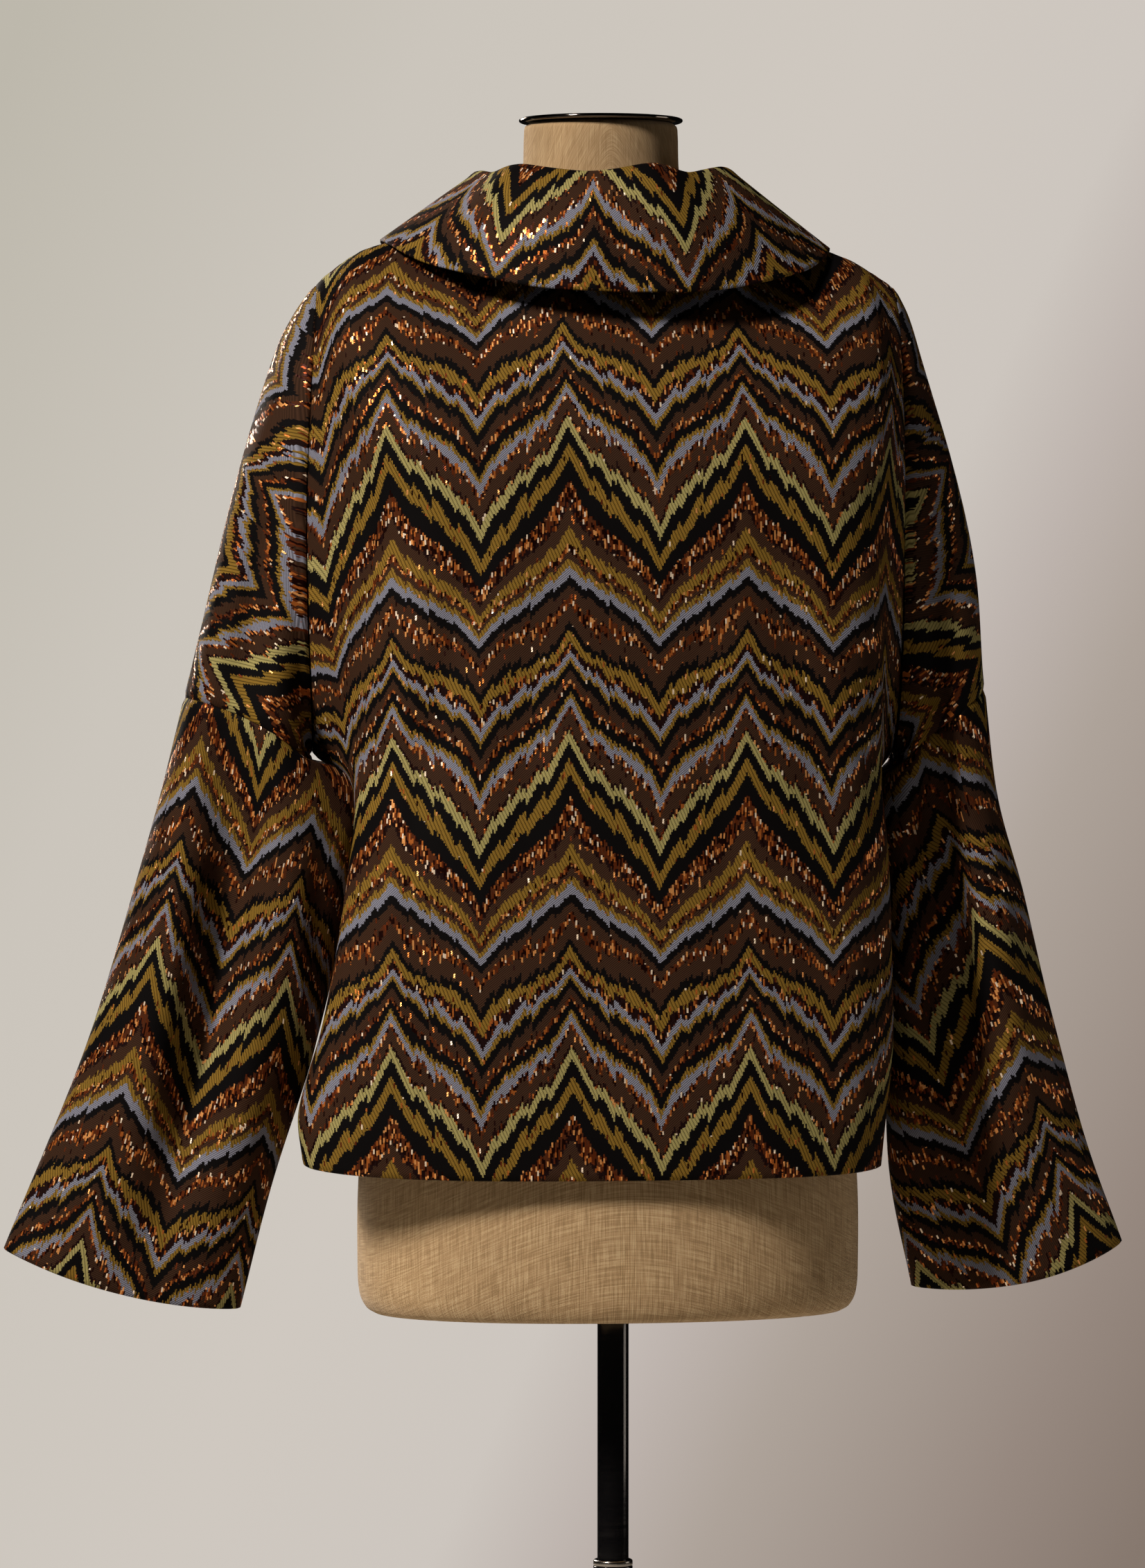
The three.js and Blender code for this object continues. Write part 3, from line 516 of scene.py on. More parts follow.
@dataclass(frozen=True)
class MetallicJacquard:
    """Jacquard of polyester and metal yarn, woven in a flame stitch.

    Zigzag lines of many colours step down in small notches. The eye gets matt dark ground, ribbed mustard
    and olive, satin grey, and copper threads that glint, partly through their metal and partly through
    painted
    glints: pale gold and near-white colours among their copper tones. The bands are charted in millimetres
    down the cloth, and the cloth's own flat layout carries them, so they follow each piece. The ribs lean off
    the warp, their stitches cross them and the twill climbs the other way. Each pitch is drawn as coarse as
    it needs to show.
    """

    half_repeat: float = 61
    rise: float = 63
    rise_change: float = 16
    change_start: float = 22
    notch: float = 42
    notch_drop: float = 0.012
    stray: float = 1.6
    stray_block: float = 4.5
    warp: float = 1.15
    weft: float = 0.9
    rib_pitch: float = 2.4
    stitch_pitch: float = 0.95
    twill_pitch: float = 1.2
    float_length: float = 3.4
    wander: float = 0.005
    bands: tuple[tuple[Yarn, float], ...] = (
        (Yarn.OLIVE, 9.5), (Yarn.BLACK, 14), (Yarn.MUSTARD, 13), (Yarn.BLACK, 13.5), (Yarn.COPPER, 8),
        (Yarn.WINE, 4), (Yarn.BROWN, 7), (Yarn.MUSTARD, 7), (Yarn.COPPER, 3), (Yarn.BROWN, 4),
        (Yarn.MUSTARD, 4), (Yarn.GREY, 6), (Yarn.BLACK, 6), (Yarn.BROWN, 4.5), (Yarn.COPPER, 4.5),
        (Yarn.BROWN, 8), (Yarn.BLACK, 5), (Yarn.MUSTARD, 9), (Yarn.WINE, 8), (Yarn.GREY, 7),
        (Yarn.MUSTARD, 4.5), (Yarn.BLACK, 10), (Yarn.BROWN, 9), (Yarn.COPPER, 5), (Yarn.BLACK, 8.5),
        (Yarn.MUSTARD, 4), (Yarn.GREY, 7), (Yarn.COPPER, 5), (Yarn.BROWN, 12), (Yarn.WINE, 5),
    )
    notches: tuple[tuple[tuple[float, float], ...], ...] = (
        ((0.26, 0.34), (0.48, 0.38), (0.75, 0.28)),
        ((0.33, 0.36), (0.53, 0.30), (0.64, 0.22), (0.83, 0.20)),
        ((0.18, 0.26), (0.42, 0.36), (0.58, 0.20), (0.70, 0.24)),
    )
    notch_shares: Stops = (
        (0.00, (0.8, 0.3, 0.0, 1)), (0.06, (0.3, 0.8, 0.0, 1)), (0.17, (0.9, 0.1, 0.0, 1)),
        (0.26, (0.2, 0.3, 0.1, 1)), (0.38, (0.0, 0.2, 0.3, 1)), (0.50, (0.0, 0.0, 0.35, 1)),
        (0.62, (0.1, 0.6, 0.2, 1)), (0.70, (0.8, 0.0, 0.3, 1)), (0.80, (0.2, 0.0, 0.8, 1)),
        (0.90, (0.0, 0.5, 0.4, 1)), (1.00, (0.8, 0.3, 0.0, 1)),
    )
    # copper tones of the metal threads; the pale gold and near-white stops are painted glints
    copper_and_painted_glints: Stops = ((0.00, "1e0b08"), (0.34, "642f17"), (0.60, "b4672f"), (0.80, "eaa664"), (0.94, "ffeed6"))

    def repeat(self) -> float:
        """Height of the whole chart."""
        return sum(width for _, width in self.bands)

    def chart(self, pick: Callable[[Yarn], Any]) -> Stops:
        """Ramp stops of the bands, each with what pick says of its yarn."""
        starts = np.cumsum([0] + [width for _, width in self.bands]) / self.repeat()
        return [(float(start), pick(yarn)) for start, (yarn, _) in zip(starts, self.bands)]

    def notch_profiles(self) -> Stops:
        """Ramp stops of three sawtooth profiles, which climb evenly and drop at each of their notches."""
        stops = []
        for edge in sorted({0.0, 1.0, *(at for profile in self.notches for at, _ in profile)}):
            for lag in (0.0, self.notch_drop):
                values = []
                for profile in self.notches:
                    slope = sum(drop for _, drop in profile)
                    dropped = sum(drop for at, drop in profile if at < edge + lag - 1e-6)
                    values.append(0.4 + slope * edge - dropped)
                stops.append((min(edge + lag, 1.0), (*values, 1.0)))
        return stops[:-1]

    def material(self) -> bpy.types.Material:
        """The node material, which reads the pieces' UV map."""
        made, add = new_material("metallic jacquard, flame stitch")
        flat = add("UVMap cut")
        wander = add("TexNoise 2D", Vector=flat, Scale=14, Detail=1).outputs["Color"]
        half = -self.wander / 2
        shift = add("VectorMath MULTIPLY_ADD", wander, (self.wander, self.wander, 0), (half, half, 0))
        split = add("SeparateXYZ", add("VectorMath SCALE", add("VectorMath ADD", flat, shift), Scale=1 / MM))
        u, v = split.outputs[0], split.outputs[1]
        u_step, v_step = add("Math SNAP", u, self.warp), add("Math SNAP", v, self.weft)
        # how far down a flank of the zigzag: 0 at a peak and 1 in a valley
        flank = add("Math DIVIDE", add("Math PINGPONG", u_step, self.half_repeat), self.half_repeat)
        height = add("Math SUBTRACT", 1, flank)
        rough_row = add("Math SUBTRACT", v_step, add("Math MULTIPLY", height, self.rise))
        turn = add("Math ADD", rough_row, self.change_start)
        wave = add("Math COSINE", add("Math MULTIPLY", turn, 2 * math.pi / self.repeat()))
        rise = add("Math MULTIPLY_ADD", wave, self.rise_change, self.rise)
        row = add("Math SUBTRACT", v_step, add("Math MULTIPLY", height, rise))
        # the flanks run steeper than the zigzag and step back up in notches, which differ from band to band
        notches = add("ValToRGB LINEAR", flank, stops=self.notch_profiles())
        share = add("Math FRACT", add("Math DIVIDE", row, -self.repeat()))
        shares = add("ValToRGB LINEAR", share, stops=self.notch_shares)
        notch = add("VectorMath DOT_PRODUCT", notches, shares).outputs["Value"]
        row = add("Math MULTIPLY_ADD", notch, self.notch, row)
        # each few threads start a little early or late
        block = add("CombineXYZ", u_step, add("Math SNAP", v_step, self.stray_block))
        stray = add("TexWhiteNoise 2D", Vector=block)
        row = add("Math ADD", row, add("Math MULTIPLY_ADD", stray, self.stray, -self.stray / 2))
        share = add("Math FRACT", add("Math DIVIDE", row, -self.repeat()))
        colours = add("ValToRGB CONSTANT", share, stops=self.chart(lambda yarn: yarn.value[0]))
        weaves = add("ValToRGB CONSTANT", share, stops=self.chart(lambda yarn: (*yarn.value[1:], 1)))
        metal_share, rib_depth, twill_depth = add("SeparateColor", weaves).outputs
        # each wave is 0 in the gap between two yarns and half its pitch on a yarn
        rib = add("Math PINGPONG", add("Math MULTIPLY_ADD", v, -0.45, u), self.rib_pitch / 2)
        crossing = add("Math MULTIPLY_ADD", v, -0.64, add("Math MULTIPLY", u, 0.77))
        stitch = add("Math PINGPONG", crossing, self.stitch_pitch / 2)
        climbing = add("Math MULTIPLY_ADD", v, 0.77, add("Math MULTIPLY", u, 0.64))
        twill = add("Math PINGPONG", climbing, self.twill_pitch / 2)
        rib_gap = add("Math SUBTRACT", 1, add("Math SMOOTH_MIN", add("Math MULTIPLY", rib, 1.6), 1.0, 0.3))
        stitch_gap = add("Math SUBTRACT", 1, add("Math MULTIPLY", stitch, 2.1))
        gaps = add("Math MULTIPLY_ADD", stitch_gap, 0.4, add("Math MULTIPLY", rib_gap, 0.6))
        gap = add("Math MULTIPLY", gaps, rib_depth)
        line = add("Math MULTIPLY", add("Math SUBTRACT", 1, add("Math MULTIPLY", twill, 1.67)), twill_depth)
        shade = add("Math SUBTRACT", 1.3, add("Math ADD", gap, add("Math MULTIPLY", line, 0.7)))
        # metal threads: short floats of random length in copper tones, the palest of them painted glints
        column = add("Math FLOOR", add("Math DIVIDE", u, self.warp))
        lag = add("Math MULTIPLY", add("TexWhiteNoise 1D", W=column), 7)
        float_row = add("Math FLOOR", add("Math ADD", add("Math DIVIDE", v, self.float_length), lag))
        chance = add("TexWhiteNoise 2D", Vector=add("CombineXYZ", column, float_row))
        metal = add("Math LESS_THAN", chance, metal_share)
        copper_and_glint_pick = add("SeparateColor", chance.outputs["Color"]).outputs[1]
        dyed = add("VectorMath SCALE", colours, Scale=shade)
        copper_and_painted_glints = add("ValToRGB CONSTANT", copper_and_glint_pick, stops=self.copper_and_painted_glints)
        mixed = add("Mix RGBA", Factor=metal, i6=dyed, i7=copper_and_painted_glints)
        relief = add("Math MULTIPLY_ADD", metal, 0.6, add("Math SUBTRACT", 1, add("Math ADD", gap, line)))
        shader = add("BsdfPrincipled", mixed.outputs[2], Metallic=add("Math MULTIPLY", metal, 0.55),
                     Roughness=add("Math MULTIPLY_ADD", metal, -0.36, 0.72), Specular_IOR_Level=0.05,
                     Normal=add("Bump", Strength=0.55, Distance=0.0004, Height=relief))
        add("OutputMaterial", shader)
        return made


@dataclass(frozen=True)
class Linen:
    """Unbleached linen in a plain weave, drawn tight and glued: matt, with slubs and a slightly uneven tone.

    Its threads are drawn 0.95 mm apart, as coarse as they need to show.
    """

    thread: float = 0.95
    slub: tuple[float, float] = (1050, 45)

    def material(self) -> bpy.types.Material:
        """The node material, which reads the form's UV map."""
        made, add = new_material("unbleached linen, plain weave")
        flat = add("UVMap cut")
        split = add("SeparateXYZ", flat)
        step = self.thread * MM
        ridges, slubs = [], []
        for axis, stretch in enumerate((self.slub, self.slub[::-1])):
            ridge = add("Math PINGPONG", split.outputs[axis], step / 2)
            ridges.append(add("Math MULTIPLY", ridge, 2 / step))
            place = add("VectorMath MULTIPLY", flat, (*stretch, 0))
            slubs.append(add("TexNoise 2D", Vector=place, Scale=1, Detail=3))
        weave, uneven = add("Math MULTIPLY", *ridges), add("Math ADD", *slubs)
        tone = add("MapRange", uneven, From_Min=0.7, From_Max=1.3, To_Min=0.0, To_Max=1.0)
        patches = add("TexNoise 2D", Vector=flat, Scale=9, Detail=4)
        base = add("ValToRGB LINEAR", tone, stops=((0.1, "a48a64"), (0.5, "bda078"), (0.95, "d2ba92")))
        shade = add("MapRange", weave, From_Min=0.0, From_Max=0.8, To_Min=0.72, To_Max=1.06)
        worn = add("MapRange", patches, From_Min=0.3, From_Max=0.7, To_Min=0.93, To_Max=1.05)
        colour = add("VectorMath SCALE", base, Scale=add("Math MULTIPLY", shade, worn))
        height = add("Math MULTIPLY_ADD", uneven, 0.6, weave)
        shader = add("BsdfPrincipled", colour, Roughness=0.92, Sheen_Weight=0.15, Specular_IOR_Level=0.25,
                     Normal=add("Bump", Strength=0.6, Distance=0.0003, Height=height))
        add("OutputMaterial", shader)
        return made


@dataclass(frozen=True)
class Polish:
    """A smooth hard finish with fine streaks or dust in its gloss."""

    name: str
    colour: str
    metallic: float
    roughness: float
    streaks: tuple[float, float, float] = (60, 60, 60)
    spread: float = 0.08
    coat: float = 0

    def material(self) -> bpy.types.Material:
        """The node material, on Object coordinates."""
        made, add = new_material(self.name)
        place = add("VectorMath MULTIPLY", add("TexCoord").outputs["Object"], self.streaks)
        grain = add("TexNoise", Vector=place, Scale=1, Detail=5, Roughness=0.65)
        gloss = add("MapRange", grain, From_Min=0.3, From_Max=0.75,
                    To_Min=max(0.02, self.roughness - self.spread), To_Max=self.roughness + self.spread)
        base = linear(self.colour)
        dull = (*(c * 0.85 for c in base[:3]), 1)
        tint = add("ValToRGB LINEAR", grain, stops=((0.3, dull), (0.7, base)))
        shader = add("BsdfPrincipled", tint, Metallic=self.metallic, Roughness=gloss, Coat_Weight=self.coat,
                     Coat_Roughness=0.08, Normal=add("Bump", Strength=0.04, Distance=0.0002, Height=grain))
        add("OutputMaterial", shader)
        return made


def write_mesh(name: str, points: Grid, quads: Grid, flat: Grid | None = None) -> bpy.types.Object:
    """A smooth mesh object in metres at the origin.

    Args:
        name: the object's name.
        points: (vertices, 3) in millimetres.
        quads: (faces, 4) vertex numbers, outward by the right-hand rule. A triangle repeats its last number.
        flat: (faces, 4, 2) places of the corners in the flat cut, in metres.

    Returns:
        The new object, linked to the scene.
    """
    mesh = bpy.data.meshes.new(name)
    triangle = quads[:, 3] == quads[:, 2]
    sizes = np.where(triangle, 3, 4)
    keep = np.ones(quads.shape, bool)
    keep[triangle, 3] = False
    mesh.vertices.add(len(points))
    mesh.vertices.foreach_set("co", (points * MM).astype(np.float32).ravel())
    mesh.loops.add(int(sizes.sum()))
    mesh.loops.foreach_set("vertex_index", quads[keep].astype(np.int32))
    mesh.polygons.add(len(quads))
    mesh.polygons.foreach_set("loop_start", np.concatenate([[0], np.cumsum(sizes)[:-1]]).astype(np.int32))
    mesh.polygons.foreach_set("use_smooth", np.ones(len(quads), bool))
    mesh.update(calc_edges=True)
    if flat is not None:
        layer = mesh.uv_layers.new(name="cut")
        layer.data.foreach_set("uv", flat[keep].astype(np.float32).ravel())
    mesh.validate()
    made = bpy.data.objects.new(name, mesh)
    bpy.context.scene.collection.objects.link(made)
    return made


def grid_quads(ids: Grid) -> Grid:
    """Faces between the neighbours of a grid of vertex numbers, which face along rows x columns."""
    return np.stack([ids[:-1, :-1], ids[1:, :-1], ids[1:, 1:], ids[:-1, 1:]], axis=-1).reshape(-1, 4)


RIM_SWELL = 0.35  # how far a cut edge rounds out, as a share of the cloth's thickness


@dataclass
class Cloth:
    """A cut piece of cloth: a grid of points on its worn surface, and the same grid laid flat."""

    name: str
    node: str
    points: Grid
    flat: Grid
    cut: tuple[float, float]
    closed: bool = False
    flip: bool = False
    slot: str = "flame_cloth"
    hold: Hold = Hold.HUNG
    thickness: float = 1.8
    outside: float = 0
    hems: tuple[str, ...] = ()

    def normals(self) -> Grid:
        """Outward normals: the cross product of the ways up and along the grid."""
        up = np.gradient(self.points, axis=0)
        run = np.gradient(self.points, axis=1)
        if self.closed:
            run[:, 0] = run[:, -1] = (self.points[:, 1] - self.points[:, -2]) / 2
        made = np.cross(up, run)
        made /= np.maximum(np.linalg.norm(made, axis=2, keepdims=True), 1e-9)
        return -made if self.flip else made

    def edge_distance(self, edge: str) -> Grid:
        """Distance in the cloth from one edge of the grid, in millimetres."""
        axis = 0 if edge in ("first", "last") else 1
        run = lengths(self.points, axis)
        whole = run[-1:] if axis == 0 else run[:, -1:]
        return run if edge in ("first", "start") else whole - run

    def press(self, offset: Grid) -> None:
        """Moves the points along their normals, by as many millimetres."""
        if self.closed:
            offset[:, -1] = offset[:, 0]
        self.points = self.points + self.normals() * offset[:, :, None]

    def fold(self, folds: Table) -> None:
        """Presses soft creases into the cloth.

        Each is a trough (negative depth) or ridge along a bent line through (u, v) at an angle, bell-shaped
        across and fading to nothing at its ends as (1 - p^2)^2.

        Args:
            folds: their table.
        """
        u, v = self.flat[..., 0], self.flat[..., 1]
        offset = np.zeros(u.shape)
        for cu, cv, angle, half, width, depth, bend in zip(*folds.values()):
            c, s = math.cos(math.radians(angle)), math.sin(math.radians(angle))
            p = ((u - cu) * c + (v - cv) * s) / half
            q = -(u - cu) * s + (v - cv) * c - bend * p**2
            offset += depth * bump(q, width) * np.maximum(0, 1 - p**2) ** 2
        self.press(offset)

    def from_inner_edge(self) -> Grid:
        """Distance in a sleeve from its inner edge, where its grid opens."""
        return np.minimum(self.edge_distance("start"), self.edge_distance("end"))

    def swell(self, height: float, across: float = 42, middle: float = 26, half: float = 38) -> None:
        """Swells a sleeve towards the body just below the armpit, as a bell along its inner edge.

        Args:
            height: how far it stands out at most.
            across: width of the bell round the sleeve.
            middle: how far below the seam it is highest.
            half: width of the bell down the sleeve.
        """
        below = self.edge_distance("first")
        bell = bump(self.from_inner_edge(), across) * bump(below - middle, half)
        self.press(height * bell * smoothstep(below, -4, 8))

    def soften(self, height: float, phase: float) -> None:
        """Gives the cloth slow shallow waves, a sum of three sines of unlike lengths.

        Args:
            height: of the largest of the three.
            phase: where the waves start, so that no two pieces are alike.
        """
        u, v = self.flat[..., 0], self.flat[..., 1]
        waves = (np.sin(u / 31 + v / 57 + phase) + 0.7 * np.sin(u / 19 - v / 43 + 2.1 * phase)
                 + 0.4 * np.sin(v / 23 + u / 71 + 3.7 * phase))
        if self.closed:
            waves *= smoothstep(self.from_inner_edge(), 0, 30)
        self.press(height * waves)

    def sew(self, seams: tuple[str, ...], depth: float = 1.1, width: float = 3.2) -> None:
        """Draws the cloth in along sewn edges, with faint puckers that fade out over a centimetre.

        Args:
            seams: the edges.
            depth: how far the stitches draw it in.
            width: of the groove.
        """
        u, v = self.flat[..., 0], self.flat[..., 1]
        offset = np.zeros(u.shape)
        for seam in seams:
            distance = self.edge_distance(seam)
            run = u if seam in ("first", "last") else v
            puckers = 0.22 * np.sin(run / 2.1 + 2 * np.sin(run / 17)) * bump(distance - 4, 5)
            offset += puckers - depth * bump(distance, width)
        self.press(offset)

    def thicknesses(self, turned: float = 1.3, depth: float = 25, ridge: float = 0.4) -> Grid:
        """The cloth's thickness, with more where a hem is turned up inside.

        Args:
            turned: thickness of the turned cloth.
            depth: of the hem.
            ridge: how much its stitched edge stands out.

        Returns:
            One value for each point.
        """
        made = np.full(self.points.shape[:2], self.thickness)
        for hem in self.hems:
            distance = self.edge_distance(hem)
            made += turned * (1 - smoothstep(distance, depth - 1, depth + 1))
            made += ridge * bump(distance - depth + 2, 2)
        return made

    def build(self, material: bpy.types.Material) -> bpy.types.Object:
        """Makes the wall: the outer and inner grids, joined round the border by a rounded rim.

        Args:
            material: its cloth.

        Returns:
            The piece, riding on the form.
        """
        normals, thick = self.normals(), self.thicknesses()[:, :, None]
        outer = self.points + normals * self.outside
        inner = outer - normals * thick
        rows, columns = thick.shape[:2]
        wrap = columns - 1 if self.closed else columns
        ids = np.arange(rows * wrap).reshape(rows, wrap)
        if self.closed:
            ids = np.concatenate([ids, ids[:, :1]], axis=1)
        inside = ids + rows * wrap
        points = [outer[:, :wrap].reshape(-1, 3), inner[:, :wrap].reshape(-1, 3)]
        i, j = np.indices((rows, columns))
        if self.closed:
            borders = [(i[0], j[0]), (i[-1][::-1], j[-1][::-1])]
        else:
            loop_i = np.concatenate([i[0], i[1:, -1], i[-1, -2::-1], i[-2::-1, 0]])
            loop_j = np.concatenate([j[0], j[1:, -1], j[-1, -2::-1], j[-2::-1, 0]])
            borders = [(loop_i, loop_j)]
        quads = [grid_quads(ids), grid_quads(inside)[:, ::-1]]
        corner = np.arange(rows * columns).reshape(rows, columns)
        corners = [grid_quads(corner), grid_quads(corner)[:, ::-1]]
        count = 2 * rows * wrap
        for bi, bj in borders:
            out, back = outer[bi, bj], inner[bi, bj]
            ahead = np.clip(bi, 1, rows - 2), bj if self.closed else np.clip(bj, 1, columns - 2)
            away = out - outer[ahead]
            away /= np.maximum(np.linalg.norm(away, axis=1, keepdims=True), 1e-9)
            middle = (out + back) / 2 + away * thick[bi, bj] * RIM_SWELL
            rim = np.arange(len(bi)) + count
            rim[-1] = rim[0]
            points.append(middle[:-1])
            count += len(bi) - 1
            face, behind, place = ids[bi, bj], inside[bi, bj], corner[bi, bj]
            for a, b in ((face, rim), (rim, behind)):
                quads.append(np.stack([a[:-1], a[1:], b[1:], b[:-1]], axis=-1))
                corners.append(np.stack([place[:-1], place[1:], place[1:], place[:-1]], axis=-1))
        faces, places = np.concatenate(quads), np.concatenate(corners)
        if self.flip:
            faces, places = faces[:, ::-1], places[:, ::-1]
        flat = self.flat.reshape(-1, 2)[places] * MM
        made = write_mesh(self.name, np.concatenate(points), faces, flat)
        made.data.materials.append(material)
        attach(made, "bust")
        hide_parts(self.node)
        return made


@dataclass(frozen=True)
class Pattern:
    """Where the flame stitch lies on a piece: how far it is turned, and where a peak and a band start are."""

    turn: float = 0
    peak: float = 0
    start: float = 0

    def lay(self, flat: Grid) -> Grid:
        """The flat grid, turned about its origin and moved so that the pattern falls as on this piece."""
        angle = math.radians(self.turn)
        u, v = flat[..., 0], flat[..., 1]
        c, s = math.cos(angle), math.sin(angle)
        return np.stack([u * c + v * s - self.peak, v * c - u * s - self.start], axis=-1)


def unrolled(points: Grid, normals: Grid, up: Grid, start: int) -> Grid:
    """Flat places on a curved sheet, unrolled without turning.

    At each point one flat direction is the given one laid on the sheet, and the other is square to it. The
    places are sums of the steps in those two directions, down the start column and from it along each row.

    Args:
        points: the grid.
        normals: its outward normals.
        up: the direction of the second flat axis.
        start: the column to start from.

    Returns:
        (rows, columns, 2) in millimetres.
    """
    second = up - normals * (normals @ up)[..., None]
    second /= np.linalg.norm(second, axis=2, keepdims=True)
    made = []
    for way in (np.cross(normals, second), second):
        along_rows = np.sum((way[:, 1:] + way[:, :-1]) / 2 * np.diff(points, axis=1), axis=2)
        down = np.sum((way[1:] + way[:-1]) / 2 * np.diff(points, axis=0), axis=2)[:, start]
        rows = np.concatenate([np.zeros((len(points), 1)), np.cumsum(along_rows, axis=1)], axis=1)
        made.append(rows - rows[:, start:start + 1] + np.concatenate([[0], np.cumsum(down)])[:, None])
    return np.stack(made, axis=-1)


class Jacket:
    """The jacket's eight pieces, from the same sections as their solids."""

    def __init__(self, steps: Steps) -> None:
        """Works out the grids of the body and the sleeves."""
        self.steps = steps
        self.halves = {(side, face): half_panel(side, face, steps) for side in (LEFT, RIGHT)
                       for face in (BACK, FRONT)}

    @staticmethod
    def laid_out(points: Grid, centre: int) -> Grid:
        """Flat places: distance along each row from a column, and distance up each column from the hem."""
        across = lengths(points, 1)
        across = across - across[:, centre:centre + 1]
        up = lengths(points, 0) + points[:1, :, 2] - BODY["z"][0]
        return np.stack([across, up], axis=-1)

    def back(self) -> Cloth:
        """The back, which has no seam in its middle."""
        left, right = self.halves[LEFT, BACK], self.halves[RIGHT, BACK]
        points = np.concatenate([right[:, :0:-1], left], axis=1)
        flat = self.laid_out(points, self.steps.across)
        return Cloth("jacket_back", "back", points, flat, (582, 714), hems=("first",))

    def front(self, side: int) -> Cloth:
        """One front, edge to edge with the other one."""
        points = self.halves[side, FRONT]
        flat = self.laid_out(points, 0)
        flat[..., 0] *= side
        return Cloth(f"jacket_front_{HAND[side]}", f"front_{HAND[side]}", points, flat, (302, 694),
                     flip=side == LEFT, hems=("first", "start"))

    def sleeve(self, side: int, start: float, end: float, rows: int, part: str) -> Cloth:
        """A ring-shaped piece of a sleeve, whose grid opens at the inner edge.

        Args:
            side: LEFT or RIGHT.
            start: its upper end, by t.
            end: its lower end.
            rows: steps between them.
            part: top or low.

        Returns:
            The piece.
        """
        t = np.linspace(start, end, rows + 1)
        shares = np.linspace(0, 1, self.steps.half_ring + 1)
        over = half_ring(side, t, BACK, shares)
        under = half_ring(side, t, FRONT, shares)[:, -2::-1]
        points = np.concatenate([over, under], axis=1)
        lean = math.radians(SLEEVE_LEAN[side])
        axis = np.array([-side * math.sin(lean), 0, math.cos(lean)])
        sheet = Cloth("", "", points, points, (0, 0), closed=True, flip=side == LEFT)
        flat = unrolled(points, sheet.normals(), axis, self.steps.half_ring)
        cut = tuple(np.ptp(flat, axis=(0, 1)))
        node = f"sleeve_{part}_{HAND[side]}"
        return Cloth(f"jacket_{node}", node, points, flat, cut, closed=True, flip=side == LEFT,
                     slot="cross_cloth" if part == "top" else "flame_cloth",
                     hems=("last",) if part == "low" else ())

    def collar(self) -> Cloth:
        """The collar: up from the neckline as a stand, over a soft roll, and down and out as the leaf."""
        feet, up = self.neckline()
        turn = np.degrees(np.arctan2(feet[:, 0], feet[:, 1] - COLLAR_Y))
        row = read(COLLAR, "turn", np.abs(turn))
        wave = sum(rise * bump(turn - at, width) for at, rise, width in zip(*FOLD_WAVES.values()))
        sin, cos = np.sin(np.radians(turn)), np.cos(np.radians(turn))

        def place(x: float, r: Grid, z: Grid) -> Grid:
            """Points at a distance from the neck's middle."""
            return np.stack([x + r * sin, COLLAR_Y + r * cos, z], axis=-1)

        foot = feet + up * FOOT_LIFT
        rise = foot + up * COLLAR_RISE
        fold_z, edge_z = row["foldZ"] + wave, row["edgeZ"] + EDGE_TILT * sin
        inside = place(FOLD_X, row["foldR"] - ROLL["inside"], fold_z - ROLL["inside_drop"])
        line = np.stack([
            rise,
            rise + (inside - rise) * STAND_LEAN,
            inside,
            place(FOLD_X, row["foldR"], fold_z),
            place(FOLD_X, row["foldR"] + ROLL["outside"], fold_z - ROLL["outside_drop"]),
            place((FOLD_X + EDGE_X) / 2, (row["foldR"] + row["edgeR"]) / 2 + row["belly"],
                  (fold_z + edge_z) / 2 + BELLY_RISE * row["belly"]),
            place(EDGE_X, row["edgeR"], edge_z),
        ], axis=1)
        rest = along(spline(extended(line), 160, 0.25), np.linspace(0, 1, self.steps.collar_up + 1))
        points = np.concatenate([foot[:, None], rest], axis=1).transpose(1, 0, 2)
        leaf = int(0.7 * self.steps.collar_up)
        around = lengths(points, 1)[leaf]
        around -= around[self.steps.collar_round // 2]
        down = lengths(points, 0)
        flat = np.stack([np.broadcast_to(-around, down.shape), down[-1:] - down], axis=-1)
        return Cloth("jacket_collar", "collar", points, flat, (620, 170), thickness=2.2, outside=1.1)

    def neckline(self) -> tuple[Grid, Grid]:
        """The middle of the cloth along the neckline, from the left front edge round to the right one.

        Returns:
            The points, and the directions in which the panels end there.
        """
        count = self.steps.collar_round // 4
        column = np.linspace(0, NECK_COLUMNS, count + 1)
        feet, normals = [], []
        for side, face, order in ((LEFT, FRONT, 1), (LEFT, BACK, -1), (RIGHT, BACK, 1), (RIGHT, FRONT, -1)):
            panel = self.halves[side, face]
            exact = top_edge(side, face, column)
            places = np.linspace(0, 1, self.steps.across + 1) * HALF_COLUMNS
            sheet = Cloth("", "", panel, panel[..., :2], (0, 0), flip=(side == LEFT) != (face == BACK))
            edge_normals = sheet.normals()[-1]
            normal = np.stack([np.interp(column, places, edge_normals[:, k]) for k in range(3)], axis=-1)
            feet.append(exact[::order])
            normals.append(normal[::order])
        points, normal = (np.concatenate([runs[0], *(run[1:] for run in runs[1:])])
                          for runs in (feet, normals))
        normal /= np.linalg.norm(normal, axis=1, keepdims=True)
        points = points - normal
        up = np.cross(normal, np.gradient(points, axis=0))
        return points, up / np.linalg.norm(up, axis=1, keepdims=True)


